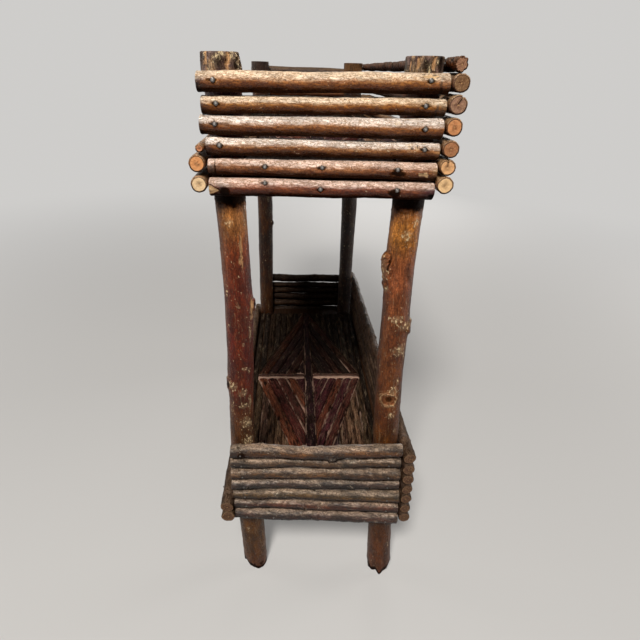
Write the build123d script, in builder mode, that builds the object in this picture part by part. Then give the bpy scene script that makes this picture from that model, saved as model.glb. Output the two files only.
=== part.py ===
"""Rustic hickory pole table: four bark-on posts, a tray and a shelf walled with nailed sticks.

Frame: origin on the ground under the middle of the bounding box, +Z up.
-Y is the near end, +Y the far end. -X is the open front, +X the closed back.
Lengths are millimetres.
"""
from build123d import *
import os

os.makedirs("parts", exist_ok=True)

# ---------------------------------------------------------------- driving dimensions
post_height = 584.0        # ground to the sawn top of a post
post_d = 28.0              # nominal pole diameter
post_span_x = 155.5        # post middles, front to back
post_span_y = 489.0        # post middles, near end to far end
post_middle_x = -3.18      # middle of the four posts: the back walls stand out past them
post_middle_y = 0.645

seat = 0.3                 # left between two round pieces that bear on one another
butt_gap = 0.5             # left where a stick's sawn end meets the side of another

tray_stick_d = 14.2        # nominal diameter of the sticks around the tray
tray_end_gap = 1.3         # daylight between two sticks of an end wall
tray_side_gap = 0.7        # daylight between two sticks of the back wall
tray_top_drop = 19.8       # post top down to the middle of the highest near-end stick
tray_end_rows = 6
tray_back_rows = 7
tray_back_drop = 2.4       # board's middle down to the middle of the lowest back stick
far_end_lift = 0.6         # the far end's lowest stick lies this much higher than the near end's
far_end_spread = 1.0       # and its rows stand this much further apart

lip_stick_d = 13.4         # the two sticks of the tray's low front lip
lip_twig_d = 7.0           # the thin twig along their top
lip_drop = 4.7             # board's middle down to the middle of the lowest lip stick
lip_gap = 2.4              # daylight between the two lip sticks
lip_twig_gap = 1.2         # daylight under the thin twig

shelf_height = 116.0       # ground to the middle of the shelf board
shelf_twig_d = 14.0        # nominal diameter of the twigs around the shelf
shelf_rows = 7
shelf_end_gap = 2.0
shelf_far_gap = 0.3
shelf_side_gap = 0.65
shelf_end_drop = 3.0       # board's middle down to the lowest near-end twig
shelf_far_drop = 9.8       # and down to the lowest far-end twig
shelf_back_drop = 1.9      # and down to the lowest back twig
shelf_lip_lift = 5.1       # board's middle up to the lower lip twig
shelf_lip_gap = 0.5        # daylight between the two lip twigs
shelf_lip_stop = 27.0      # the upper lip twig ends this far before the far post's middle

tray_board_edge = 3.4      # board above and below the two rows of nails that hold it
shelf_board_thickness = 18.0
board_inset = 0.2          # board's edge behind the posts' outer sides
notch_clearance = 0.9      # board to post, around each corner notch

mosaic_height = 6.0        # a split twig's thickness above its board
mosaic_round = 2.2         # radius along its barked back
long_back = 20.0           # edges longer than this are a twig's barked back
mosaic_joint = 0.8         # crack between two laid twigs
mosaic_margin = 1.2        # mosaic to posts and walls
border_width = 8.0         # the long twigs down both sides
spine_near_width = 15.5    # the centre twig tapers to the far end
spine_far_width = 9.0
spine_shift = 1.4          # it lies this far behind the posts' middle
crossbar_width = 12.0
diamond_rows = {"front": 5, "back": 6}
field_rows = 7             # straight twigs in the corner outside each slanting set

nail_fit = 0.05            # radial room in a nail's hole
head_gap = 0.12            # under a nail's head, where the stick's taper lifts it
nail_d = 2.0
nail_head_d = 3.8
nail_head_thickness = 0.8
brad_d = 1.5
brad_head_d = 2.4
brad_head_thickness = 0.4
post_bite = 0.76           # a nail's depth in a post, as a share of the post's radius
board_bite = 11.0          # a nail's depth in a board

# places of the nails into a board, as shares of the post span from the front or the near posts
end_nail_share = [0.21, 0.49, 0.88]
side_nail_share = [0.3, 0.7]

# ---------------------------------------------------------------- natural shape of the posts
# share of the height, drift of the middle in x and y, thickness as a share of post_d
post_shape = {
    "near_front": [
        (0.000, 7.0, 6.0, 1.04), (0.140, 4.0, 4.0, 1.06), (0.350, -1.0, 0.0, 0.95),
        (0.450, 0.2, 0.0, 0.93), (0.635, 2.0, 0.0, 0.96), (0.800, 0.6, 0.0, 0.94),
        (0.940, -0.4, 0.0, 0.99), (0.975, -0.7, 0.0, 1.13), (0.998, -1.8, 0.0, 1.03),
    ],
    "near_back": [
        (0.000, 10.0, -5.0, 1.09), (0.130, 6.5, -3.0, 1.06), (0.350, 2.5, 0.0, 1.01),
        (0.490, -0.7, 0.0, 1.00), (0.635, -1.4, 0.0, 0.97), (0.710, -0.1, 0.0, 1.02),
        (0.800, -0.9, 0.0, 1.02), (1.000, 0.0, 0.0, 1.08),
    ],
    "far_front": [
        (0.000, -0.5, 0.0, 0.97), (0.320, -0.8, 0.0, 0.94), (0.590, 0.9, 0.0, 0.99),
        (0.800, -1.0, 0.0, 1.02), (0.998, -2.2, 0.0, 1.05),
    ],
    "far_back": [
        (0.000, 3.5, 0.0, 1.00), (0.215, 2.4, 0.0, 0.97), (0.390, 1.8, 0.0, 0.93),
        (0.590, 2.4, 0.0, 1.02), (0.800, -0.8, 0.0, 1.06), (1.001, -3.6, 0.0, 1.10),
    ],
}
# cut branches and healed collars: height share, way out in the plan (degrees from +X), reach
# past the bark, and their radius inside the post and at the tip
post_stubs = {
    "near_front": [(0.640, -8.0, 2.5, 6.0, 3.0), (0.490, -155.0, 1.5, 9.0, 4.5)],
    "near_back": [(0.702, 172.0, 5.0, 12.0, 5.0), (0.602, -12.0, 2.5, 9.0, 4.0),
                  (0.464, -98.0, 2.0, 12.0, 6.0)],
    "far_front": [(0.537, -20.0, 3.0, 5.0, 2.0)],
    "far_back": [],
}

# ---------------------------------------------------------------- natural shape of the sticks
# from the top row down: height drift at the two ends, thickness as a share at the two ends;
# front then back for an end wall, near then far for a side
tray_near_shape = [
    (-1.3, 1.4, 1.03, 1.06), (-1.3, 0.9, 0.92, 0.90), (-0.2, 0.7, 1.00, 1.08),
    (0.3, -0.2, 0.96, 0.92), (0.1, -0.2, 0.90, 1.00), (0.2, -0.3, 1.05, 0.98),
]
tray_far_shape = [
    (0.3, -0.2, 1.00, 0.95), (-0.4, 0.3, 0.97, 1.04), (0.2, 0.5, 1.04, 0.96),
    (0.0, -0.4, 0.93, 1.00), (0.3, 0.0, 1.02, 0.98), (-0.2, 0.2, 0.97, 1.03),
]
tray_back_shape = [
    (-2.7, -2.6, 0.72, 0.70), (-0.1, -1.6, 0.97, 0.88), (0.1, -1.8, 1.00, 0.90),
    (-1.1, -5.0, 0.99, 0.78), (-2.1, -3.9, 0.96, 0.84), (-1.0, -3.5, 0.94, 0.86),
    (0.0, -2.1, 0.96, 0.88),
]
tray_lip_shape = [(0.0, 0.6, 1.00, 0.86), (0.0, 0.8, 0.99, 0.84), (0.0, 0.3, 0.97, 0.88)]
shelf_near_shape = [
    (0.0, -0.2, 1.06, 1.10), (-0.2, -1.2, 0.93, 0.92), (0.4, -0.5, 0.99, 1.06),
    (1.1, -0.7, 0.98, 0.90), (1.6, -1.2, 0.92, 1.09), (2.4, -2.4, 0.88, 1.00),
    (3.6, -2.4, 1.04, 1.06),
]
shelf_far_shape = [
    (0.0, 0.3, 1.00, 0.96), (0.5, 0.2, 0.70, 0.74), (2.6, 2.8, 0.90, 0.86),
    (2.9, 2.6, 0.96, 1.00), (2.4, 2.6, 0.98, 0.94), (1.5, 1.3, 1.00, 1.03), (1.0, 0.8, 0.99, 0.96),
]
shelf_back_shape = [
    (1.2, -2.4, 1.03, 0.68), (0.9, -1.0, 1.01, 0.80), (0.6, -0.6, 1.01, 0.84),
    (0.9, 0.3, 0.98, 0.80), (1.1, 0.6, 0.98, 0.86), (0.6, 0.2, 0.96, 0.84), (0.0, 0.4, 1.02, 0.90),
]
shelf_lip_shape = [(0.0, 6.0, 0.98, 0.74), (0.0, 2.4, 1.00, 0.84)]

# how far the free ends of an end wall's sticks stand past the front posts, from the top row down
tray_near_overhang = [0.6, 0.2, 2.6, 0.4, 0.0, 0.0]
tray_far_overhang = [1.6, 0.4, 1.2, 2.2, 0.0, 0.0]
shelf_overhang = [-2.5, -1.6, -0.8, -0.4, 0.0, 0.0, 0.0]

# which way each post stands from the middle, and the way in through each wall
post_side = {"near_front": (-1, -1), "near_back": (1, -1), "far_front": (-1, 1), "far_back": (1, 1)}
inward = {
    "near": Vector(0, 1, 0), "far": Vector(0, -1, 0), "back": Vector(-1, 0, 0), "front": Vector(1, 0, 0),
}
nail_kind = {"d": nail_d, "head_d": nail_head_d, "head": nail_head_thickness}
brad_kind = {"d": brad_d, "head_d": brad_head_d, "head": brad_head_thickness}
on_end = (Align.CENTER, Align.CENTER, Align.MIN)


# ---------------------------------------------------------------- posts: where they are at a height
def post_stations(post):
    """The post's cross sections from the ground up: (z, x, y, radius)."""
    side_x, side_y = post_side[post]
    base_x = post_middle_x + side_x * post_span_x / 2
    base_y = post_middle_y + side_y * post_span_y / 2
    return [
        (share * post_height, base_x + dx, base_y + dy, thick * post_d / 2)
        for share, dx, dy, thick in post_shape[post]
    ]


def post_at(post, z):
    """Middle and radius of a post at height z: (x, y, radius)."""
    stations = post_stations(post)
    for low, high in zip(stations, stations[1:]):
        if z <= high[0]:
            break
    t = (z - low[0]) / (high[0] - low[0])
    return tuple(a + (b - a) * t for a, b in zip(low[1:], high[1:]))


# ---------------------------------------------------------------- sticks: straight tapered poles
# a stick is (start point, end point, start radius, end radius)
def line_at(p, q, axis, value):
    """The point of the line p-q at which one coordinate (0 is x, 1 is y) has the given value."""
    t = (value - tuple(p)[axis]) / (tuple(q)[axis] - tuple(p)[axis])
    return p + (q - p) * t


def lay_stick(posts, way, heights, diameters, axis, start, end):
    """A stick against the outer sides of two posts, sawn off at two values of x or y."""
    points = []
    for post, z, d in zip(posts, heights, diameters):
        x, y, r = post_at(post, z)
        points.append(Vector(x, y, z) - way * (r + seat + d / 2))
    return line_at(*points, axis, start), line_at(*points, axis, end), diameters[0] / 2, diameters[1] / 2


def stick_at(stick, axis, value):
    """Middle point and radius of a stick where it passes the given x (axis 0) or y (axis 1)."""
    start, end, r_start, r_end = stick
    t = (value - tuple(start)[axis]) / (tuple(end)[axis] - tuple(start)[axis])
    return start + (end - start) * t, r_start + (r_end - r_start) * t


def outer_y(end, z, d):
    """The y of an end wall's outer face, to which the side sticks are sawn off."""
    side_y = post_side[end + "_back"][1]
    faces = []
    for post in (end + "_front", end + "_back"):
        _, y, r = post_at(post, z)
        faces.append(side_y * y + r + seat + d)
    return side_y * max(faces)


def side_wall(side, rows_z, diameters, shape, y_start, y_ends):
    """The sticks of the back wall or of the front lip, top to bottom."""
    posts = ("near_" + side, "far_" + side)
    sticks = []
    for z, d, y_end, (dz_near, dz_far, thick_near, thick_far) in zip(rows_z, diameters, y_ends, shape):
        heights = (z + dz_near, z + dz_far)
        thickness = (thick_near * d, thick_far * d)
        sticks.append(lay_stick(posts, inward[side], heights, thickness, 1, y_start, y_end))
    return sticks


def butt_stops(side_sticks, y, z, radius, side_x):
    """The x values at which an end stick at height z stops short of the side sticks it meets."""
    stops = []
    for stick in side_sticks:
        middle, r = stick_at(stick, 1, y)
        if abs(middle.Z - z) < radius + r:
            stops.append(middle.X - side_x * (r + butt_gap))
    return stops


def end_wall(end, rows_z, d, shape, overhang, back_sticks, lip_sticks, y_face):
    """The sticks of one end wall, top to bottom; where they meet a side stick they stop at it."""
    posts = (end + "_front", end + "_back")
    sticks = []
    for z, past_post, (dz_front, dz_back, thick_front, thick_back) in zip(rows_z, overhang, shape):
        heights = (z + dz_front, z + dz_back)
        diameters = (thick_front * d, thick_back * d)
        front_x, _, front_r = post_at(posts[0], heights[0])
        back_x, _, back_r = post_at(posts[1], heights[1])
        starts = butt_stops(lip_sticks, y_face, heights[0], diameters[0] / 2, -1)
        starts.append(front_x - front_r - past_post)
        ends = butt_stops(back_sticks, y_face, heights[1], diameters[1] / 2, 1)
        ends.append(back_x + back_r)
        sticks.append(lay_stick(posts, inward[end], heights, diameters, 0, max(starts), min(ends)))
    return sticks


def rows_up(lowest, pitch, count):
    """Heights of a wall's rows from the top down, counted up from the lowest."""
    return [lowest + pitch * (count - 1 - row) for row in range(count)]


# ---------------------------------------------------------------- the tray's walls
tray_end_pitch = tray_stick_d + tray_end_gap
tray_low_z = post_height - tray_top_drop - tray_end_pitch * (tray_end_rows - 1)
tray_board_bottom = tray_low_z - tray_board_edge
tray_board_top = tray_low_z + tray_end_pitch + tray_board_edge
tray_board_middle = (tray_board_bottom + tray_board_top) / 2
tray_near_z = rows_up(tray_low_z, tray_end_pitch, tray_end_rows)
tray_far_z = rows_up(tray_low_z + far_end_lift, tray_end_pitch + far_end_spread, tray_end_rows)
tray_back_z = rows_up(tray_board_middle - tray_back_drop, tray_stick_d + tray_side_gap, tray_back_rows)
lip_low_z = tray_board_middle - lip_drop
lip_high_z = lip_low_z + lip_stick_d + lip_gap
lip_twig_z = lip_high_z + (lip_stick_d + lip_twig_d) / 2 + lip_twig_gap
tray_y = {end: outer_y(end, tray_board_top, tray_stick_d) for end in ("near", "far")}

tray_back = side_wall("back", tray_back_z, [tray_stick_d] * tray_back_rows, tray_back_shape,
                      tray_y["near"], [tray_y["far"]] * tray_back_rows)
tray_lip = side_wall("front", [lip_twig_z, lip_high_z, lip_low_z], [lip_twig_d, lip_stick_d, lip_stick_d],
                     tray_lip_shape, tray_y["near"], [tray_y["far"]] * len(tray_lip_shape))
tray_near = end_wall("near", tray_near_z, tray_stick_d, tray_near_shape, tray_near_overhang,
                     tray_back, tray_lip, tray_y["near"])
tray_far = end_wall("far", tray_far_z, tray_stick_d, tray_far_shape, tray_far_overhang,
                    tray_back, tray_lip, tray_y["far"])

# ---------------------------------------------------------------- the shelf's walls
shelf_board_bottom = shelf_height - shelf_board_thickness / 2
shelf_board_top = shelf_height + shelf_board_thickness / 2
shelf_near_z = rows_up(shelf_height - shelf_end_drop, shelf_twig_d + shelf_end_gap, shelf_rows)
shelf_far_z = rows_up(shelf_height - shelf_far_drop, shelf_twig_d + shelf_far_gap, shelf_rows)
shelf_back_z = rows_up(shelf_height - shelf_back_drop, shelf_twig_d + shelf_side_gap, shelf_rows)
shelf_lip_z = rows_up(shelf_height + shelf_lip_lift, shelf_twig_d + shelf_lip_gap, len(shelf_lip_shape))
shelf_y = {end: outer_y(end, shelf_near_z[shelf_rows // 2], shelf_twig_d) for end in ("near", "far")}
far_post_y = post_middle_y + post_span_y / 2

shelf_back = side_wall("back", shelf_back_z, [shelf_twig_d] * shelf_rows, shelf_back_shape,
                       shelf_y["near"], [shelf_y["far"]] * shelf_rows)
shelf_lip = side_wall("front", shelf_lip_z, [shelf_twig_d] * len(shelf_lip_shape), shelf_lip_shape,
                      shelf_y["near"], [far_post_y - shelf_lip_stop, shelf_y["far"]])
shelf_near = end_wall("near", shelf_near_z, shelf_twig_d, shelf_near_shape, shelf_overhang,
                      shelf_back, shelf_lip, shelf_y["near"])
shelf_far = end_wall("far", shelf_far_z, shelf_twig_d, shelf_far_shape, shelf_overhang,
                     shelf_back, shelf_lip[1:], shelf_y["far"])

# ---------------------------------------------------------------- nails
# a nail is (point under its head, way in, length, kind); held_in lists what each piece receives
held_in = {name: [] for name in [*post_side, "tray_board", "shelf_board"]}


def drive(stick, axis, place, way, bite, kind):
    """A nail through a stick's middle, in past its far side by the seat and the given bite."""
    middle, r = stick_at(stick, axis, place)
    return middle - way * (r + head_gap), way, head_gap + 2 * r + seat + bite, kind


def nail_to_posts(stick, axis, posts, way, kind):
    """One nail through the stick into each post, at the post's middle."""
    nails = []
    for post in posts:
        rough_place = post_at(post, stick[0].Z)[axis]
        height = stick_at(stick, axis, rough_place)[0].Z
        place, radius = post_at(post, height)[axis], post_at(post, height)[2]
        nail = drive(stick, axis, place, way, post_bite * radius, kind)
        held_in[post].append(nail)
        nails.append(nail)
    return nails


def nail_to_board(stick, axis, shares, way, board, kind):
    """Nails through the stick into the board's edge, at shares of the post span."""
    middle, span = [(post_middle_x, post_span_x), (post_middle_y, post_span_y)][axis]
    nails = [drive(stick, axis, middle + span * (share - 0.5), way, board_bite, kind) for share in shares]
    held_in[board] += nails
    return nails


def fasten_end(end, sticks, board_rows, board, kind):
    """The nails of an end wall, stick by stick; the rows beside the board are nailed to it."""
    nails = []
    for row, stick in enumerate(sticks):
        if row in board_rows:
            nails.append(nail_to_board(stick, 0, end_nail_share, inward[end], board, kind))
        else:
            nails.append(nail_to_posts(stick, 0, (end + "_front", end + "_back"), inward[end], kind))
    return nails


def fasten_side(side, sticks, board, kind):
    """The nails of a side wall, stick by stick; the lowest is nailed to the board as well."""
    posts = ("near_" + side, "far_" + side)
    nails = [nail_to_posts(stick, 1, posts, inward[side], kind) for stick in sticks]
    nails[-1] += nail_to_board(sticks[-1], 1, side_nail_share, inward[side], board, kind)
    return nails


board_rows = (tray_end_rows - 2, tray_end_rows - 1)
tray_near_nails = fasten_end("near", tray_near, board_rows, "tray_board", nail_kind)
tray_far_nails = fasten_end("far", tray_far, board_rows, "tray_board", nail_kind)
tray_back_nails = fasten_side("back", tray_back, "tray_board", nail_kind)
tray_lip_nails = fasten_side("front", tray_lip, "tray_board", nail_kind)

shelf_near_nails = fasten_end("near", shelf_near, (), "shelf_board", brad_kind)
shelf_near_nails[-1] += nail_to_board(shelf_near[-1], 0, end_nail_share, inward["near"], "shelf_board",
                                      brad_kind)
shelf_far_nails = fasten_end("far", shelf_far, (), "shelf_board", brad_kind)
shelf_back_nails = fasten_side("back", shelf_back, "shelf_board", brad_kind)
shelf_lip_nails = [nail_to_posts(shelf_lip[0], 1, ["near_front"], inward["front"], brad_kind)]
shelf_lip_nails += fasten_side("front", shelf_lip[1:], "shelf_board", brad_kind)

# a pin stands through the upper lip twig's loose end, down into the middle of the lower one
pin_y = far_post_y - 2 * shelf_lip_stop
pin_top, pin_top_r = stick_at(shelf_lip[0], 1, pin_y)
pin_foot, _ = stick_at(shelf_lip[1], 1, pin_y)
pin_head = pin_top + Vector(0, 0, pin_top_r + head_gap)
lip_pin = (pin_head, Vector(0, 0, -1), pin_head.Z - pin_foot.Z, brad_kind)


# ---------------------------------------------------------------- building
def bore(nails):
    """Cut each nail's hole into the piece that is being built."""
    for head, way, length, kind in nails:
        depth = length + kind["head"] + nail_fit
        with Locations(Plane(origin=head - way * kind["head"], z_dir=way).location):
            Cylinder(kind["d"] / 2 + nail_fit, depth, align=on_end, mode=Mode.SUBTRACT)


def write(piece, name):
    """Label a finished piece and write it as its own node."""
    piece.part.label = name
    export_step(piece.part, "parts/" + name + ".step")


def build_stick(stick):
    """One tapered pole, inside the current part."""
    start, end, r_start, r_end = stick
    sawn_ends = []
    for middle, r in ((start, r_start), (end, r_end)):
        with BuildSketch(Plane(origin=middle, z_dir=end - start)) as sawn_end:
            Circle(r)
        sawn_ends.append(sawn_end.sketch.face())
    loft(sawn_ends, ruled=True)


def write_sticks(sticks, nails, name):
    """Each stick of a wall as a node of its own, numbered from the top."""
    for number, (stick, stick_nails) in enumerate(zip(sticks, nails), start=1):
        with BuildPart() as wall_stick:
            build_stick(stick)
            bore(stick_nails)
        write(wall_stick, name + "_" + str(number))


def write_nails(nails, name):
    """A set of nails as one node of separate solids."""
    with BuildPart() as nail_set:
        for head, way, length, kind in nails:
            with Locations(Plane(origin=head, z_dir=way).location):
                Cylinder(kind["d"] / 2, length, align=on_end)
            with Locations(Plane(origin=head, z_dir=-way).location):
                Cylinder(kind["head_d"] / 2, kind["head"], align=on_end)
    write(nail_set, name)


# the posts: poles that wander and taper, with the stubs of cut branches
for post in post_side:
    with BuildPart() as pole:
        for z, x, y, r in post_stations(post):
            with BuildSketch(Plane.XY.offset(z)):
                with Locations((x, y)):
                    Circle(r)
        loft(ruled=True)
        for share, bearing, reach, root_r, tip_r in post_stubs[post]:
            z = share * post_height
            x, y, r = post_at(post, z)
            stub_way = Vector(1, 0, 0).rotate(Axis.Z, bearing)
            with Locations(Plane(origin=(x, y, z), z_dir=stub_way).location):
                Cone(root_r, tip_r, r + reach, align=on_end)
        bore(held_in[post])
    write(pole, "post_" + post)

# the walls
write_sticks(tray_near, tray_near_nails, "tray_near_end_stick")
write_sticks(tray_far, tray_far_nails, "tray_far_end_stick")
write_sticks(tray_back, tray_back_nails, "tray_back_stick")
write_sticks(tray_lip, tray_lip_nails, "tray_front_lip_stick")
write_sticks(shelf_near, shelf_near_nails, "shelf_near_end_twig")
write_sticks(shelf_back, shelf_back_nails, "shelf_back_twig")
write_sticks(shelf_lip, [nails + [lip_pin] for nails in shelf_lip_nails], "shelf_front_lip_twig")

with BuildPart() as far_twigs:
    for stick, stick_nails in zip(shelf_far, shelf_far_nails):
        build_stick(stick)
        bore(stick_nails)
write(far_twigs, "shelf_far_end_twigs")

tray_nails = tray_near_nails + tray_far_nails + tray_back_nails + tray_lip_nails
shelf_nails = shelf_near_nails + shelf_far_nails + shelf_back_nails + shelf_lip_nails
write_nails(sum(tray_nails, []), "tray_nails")
write_nails(sum(shelf_nails, []) + [lip_pin], "shelf_brads")


# ---------------------------------------------------------------- the two boards
def write_board(bottom, top, name):
    """A board whose corners are notched around the posts."""
    places = {post: post_at(post, (bottom + top) / 2) for post in post_side}
    corners = []
    for post in ("near_front", "near_back", "far_back", "far_front"):
        x, y, r = places[post]
        side_x, side_y = post_side[post]
        corners.append((x + side_x * (r - board_inset), y + side_y * (r - board_inset)))
    with BuildPart() as board:
        with BuildSketch(Plane.XY.offset(bottom)):
            Polygon(*corners, align=None)
            for x, y, r in places.values():
                with Locations((x, y)):
                    Rectangle(2 * (r + notch_clearance), 2 * (r + notch_clearance), mode=Mode.SUBTRACT)
        extrude(amount=top - bottom)
        bore(held_in[name])
    write(board, name)


write_board(tray_board_bottom, tray_board_top, "tray_board")
write_board(shelf_board_bottom, shelf_board_top, "shelf_board")


# ---------------------------------------------------------------- twig mosaic on both boards
def along(p, q, share):
    """The point a share of the way from p to q, in the plan."""
    return p[0] + (q[0] - p[0]) * share, p[1] + (q[1] - p[1]) * share


def floor_area(z):
    """The clear floor between walls and posts at height z: x and y from least to most."""
    posts = {post: post_at(post, z) for post in post_side}
    x_low = max(posts[p][0] - posts[p][2] for p in ("near_front", "far_front")) + mosaic_margin
    x_high = min(posts[p][0] + posts[p][2] for p in ("near_back", "far_back")) - mosaic_margin
    y_low = max(posts[p][1] + posts[p][2] for p in ("near_front", "near_back")) + mosaic_margin
    y_high = min(posts[p][1] - posts[p][2] for p in ("far_front", "far_back")) - mosaic_margin
    return x_low, x_high, y_low, y_high


def strips(a, b, c, d, count, crack):
    """Cut the four-sided patch a-b-c-d into strips that run from side a-d to side b-c."""
    cut = []
    for strip in range(count):
        low = strip / count + crack
        high = (strip + 1) / count - crack
        cut.append([along(a, d, low), along(b, c, low), along(b, c, high), along(a, d, high)])
    return cut


def mosaic_twigs(z):
    """Outlines of one floor's split twigs, in four groups."""
    x_low, x_high, y_low, y_high = floor_area(z)
    spine_x = post_middle_x + spine_shift
    half_bar = crossbar_width / 2
    spine = [(spine_x - spine_near_width / 2, y_low), (spine_x + spine_near_width / 2, y_low),
             (spine_x + spine_far_width / 2, y_high), (spine_x - spine_far_width / 2, y_high)]
    groups = {"spine": [spine], "crossbars": [], "diamond": [], "field": []}
    for side, side_x, x_out, near_tip, far_tip in (("front", -1, x_low, spine[0], spine[3]),
                                                   ("back", 1, x_high, spine[1], spine[2])):
        near_tip = (near_tip[0] + side_x * mosaic_joint, near_tip[1])
        far_tip = (far_tip[0] + side_x * mosaic_joint, far_tip[1])
        x_in = x_out - side_x * border_width
        groups["field"].append([(x_out, y_low), (x_in, y_low), (x_in, y_high), (x_out, y_high)])
        outer = x_in - side_x * mosaic_joint
        inner = along(near_tip, far_tip, (post_middle_y - y_low) / (y_high - y_low))[0]
        groups["crossbars"].append([(outer, post_middle_y - half_bar), (inner, post_middle_y - half_bar),
                                    (inner, post_middle_y + half_bar), (outer, post_middle_y + half_bar)])
        for side_y, tip in ((-1, near_tip), (1, far_tip)):
            bar_y = post_middle_y + side_y * (half_bar + mosaic_joint)
            heel = (outer, bar_y)
            elbow = (along(near_tip, far_tip, (bar_y - y_low) / (y_high - y_low))[0], bar_y)
            corner = (outer, tip[1])
            crack = mosaic_joint / abs(elbow[0] - outer) / 2
            groups["diamond"] += strips(heel, tip, elbow, elbow, diamond_rows[side], crack)
            heel_end, tip_end = along(heel, corner, 2 * crack), along(tip, corner, 2 * crack)
            groups["field"] += strips(corner, heel_end, tip_end, tip_end, field_rows, crack)
    return groups


def write_mosaic(z, name):
    """One floor's mosaic: slabs laid with open joints."""
    for group, outlines in mosaic_twigs(z).items():
        with BuildPart() as twigs:
            with BuildSketch(Plane.XY.offset(z)):
                for outline in outlines:
                    Polygon(*outline, align=None)
            extrude(amount=mosaic_height)
            backs = twigs.edges().group_by(Axis.Z)[-1].filter_by(lambda edge: edge.length > long_back)
            fillet(backs, mosaic_round)
        write(twigs, name + "_mosaic_" + group)


write_mosaic(tray_board_top, "tray")
write_mosaic(shelf_board_top, "shelf")
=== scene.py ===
"""The looks of a rustic hickory pole table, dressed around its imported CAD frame.

Every pole, split twig and nail is read from its CAD node and lies where the node lies. Shapes
are worked out in millimetres in the frame's own axes and written in metres.
"""

import bmesh
import bpy
import itertools
import math
import numpy as np
import random
from mathutils import Matrix, Vector


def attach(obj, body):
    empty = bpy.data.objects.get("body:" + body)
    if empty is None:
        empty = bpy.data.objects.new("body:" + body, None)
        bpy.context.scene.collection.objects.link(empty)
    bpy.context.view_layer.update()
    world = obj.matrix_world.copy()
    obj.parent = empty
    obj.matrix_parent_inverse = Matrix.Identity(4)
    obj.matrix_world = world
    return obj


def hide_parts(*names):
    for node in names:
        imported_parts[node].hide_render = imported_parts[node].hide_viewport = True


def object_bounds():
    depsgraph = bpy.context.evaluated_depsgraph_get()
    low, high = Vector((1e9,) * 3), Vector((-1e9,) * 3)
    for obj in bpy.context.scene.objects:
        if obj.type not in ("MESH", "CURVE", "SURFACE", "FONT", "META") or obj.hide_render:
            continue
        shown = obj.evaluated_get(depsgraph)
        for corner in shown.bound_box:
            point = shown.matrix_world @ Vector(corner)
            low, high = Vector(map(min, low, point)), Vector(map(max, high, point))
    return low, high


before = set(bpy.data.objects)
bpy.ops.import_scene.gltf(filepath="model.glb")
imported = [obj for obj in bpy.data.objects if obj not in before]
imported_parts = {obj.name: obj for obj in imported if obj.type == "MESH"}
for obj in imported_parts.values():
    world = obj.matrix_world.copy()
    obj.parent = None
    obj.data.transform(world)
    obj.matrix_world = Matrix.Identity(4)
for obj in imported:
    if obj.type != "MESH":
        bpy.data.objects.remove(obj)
cad_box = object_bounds()
MM = 0.001
NEAR_STICK_RADIUS = 7.0  # mm
SMALLEST_NAIL_HEAD = 1.5  # mm of radius; the shelf's brads have smaller heads


# ---------------------------------------------------------------- smooth noise on arrays
def lattice(ix, iy, iz, seed):
    """A fixed random number from 0 to 1 at each whole-number point."""
    n = ix.astype(np.uint32) * np.uint32(0x8DA6B343)
    n ^= iy.astype(np.uint32) * np.uint32(0xD8163841)
    n ^= iz.astype(np.uint32) * np.uint32(0xCB1AB31F)
    n ^= np.uint32(seed * 0x9E3779B1 & 0xFFFFFFFF)
    n = (n ^ (n >> np.uint32(13))) * np.uint32(0x5BD1E995)
    n ^= n >> np.uint32(15)
    return n / np.iinfo(np.uint32).max


def noise(x, y, z, seed):
    """Smooth noise from -1 to 1."""
    cells = [np.floor(v).astype(np.int64) for v in (x, y, z)]
    fx, fy, fz = [v - c for v, c in zip((x, y, z), cells)]
    fx, fy, fz = [f * f * (3 - 2 * f) for f in (fx, fy, fz)]
    total = 0
    for dx, dy, dz in itertools.product((0, 1), repeat=3):
        weight = (fx if dx else 1 - fx) * (fy if dy else 1 - fy) * (fz if dz else 1 - fz)
        total = total + weight * lattice(cells[0] + dx, cells[1] + dy, cells[2] + dz, seed)
    return 2 * total - 1


def rough(x, y, z, seed):
    """Noise with a second layer on it, half as strong and half as large."""
    return noise(x, y, z, seed) + 0.5 * noise(2 * x, 2 * y, 2 * z, seed + 31)


def smooth(low, high, value):
    """0 below low, 1 above high, and smooth between them."""
    t = np.clip((value - low) / (high - low), 0, 1)
    return t * t * (3 - 2 * t)


def fade(low, high, value):
    """1 below low, 0 above high, and smooth between them."""
    return 1 - smooth(low, high, value)


def bell(value, middle, reach):
    """1 at a middle, dying away within a reach on both sides of it."""
    return np.exp(-((value - middle) / reach) ** 2)


def plates(x, y, z, seed):
    """0 in thin winding furrows, up to 1 on the swellings between them."""
    return np.minimum(1, 2.2 * np.abs(noise(x, y, z, seed)))


# ---------------------------------------------------------------- reading the CAD nodes
def cad_parts(node):
    """The points of each separate solid of a CAD node, in millimetres."""
    mesh = bmesh.new()
    mesh.from_mesh(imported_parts[node].data)
    bmesh.ops.remove_doubles(mesh, verts=mesh.verts, dist=1e-6)
    seen, parts = set(), []
    for start in mesh.verts:
        if start in seen:
            continue
        seen.add(start)
        stack, found = [start], []
        while stack:
            vert = stack.pop()
            found.append(vert.co / MM)
            for edge in vert.link_edges:
                other = edge.other_vert(vert)
                if other not in seen:
                    seen.add(other)
                    stack.append(other)
        parts.append(np.array(found))
    mesh.free()
    return parts


def ends_of(points):
    """Middle and radius of the round faces at both ends of a straight stick."""
    axis = int(np.argmax(np.ptp(points, axis=0)))
    across = [a for a in range(3) if a != axis]
    middles, radii = [], []
    for face in (points[:, axis].min(), points[:, axis].max()):
        ring = points[np.abs(points[:, axis] - face) < 1.2]
        middles.append((ring.min(0) + ring.max(0)) / 2)
        radii.append(np.ptp(ring[:, across], axis=0).max() / 2)
    return np.array(middles), np.array(radii)


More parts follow.
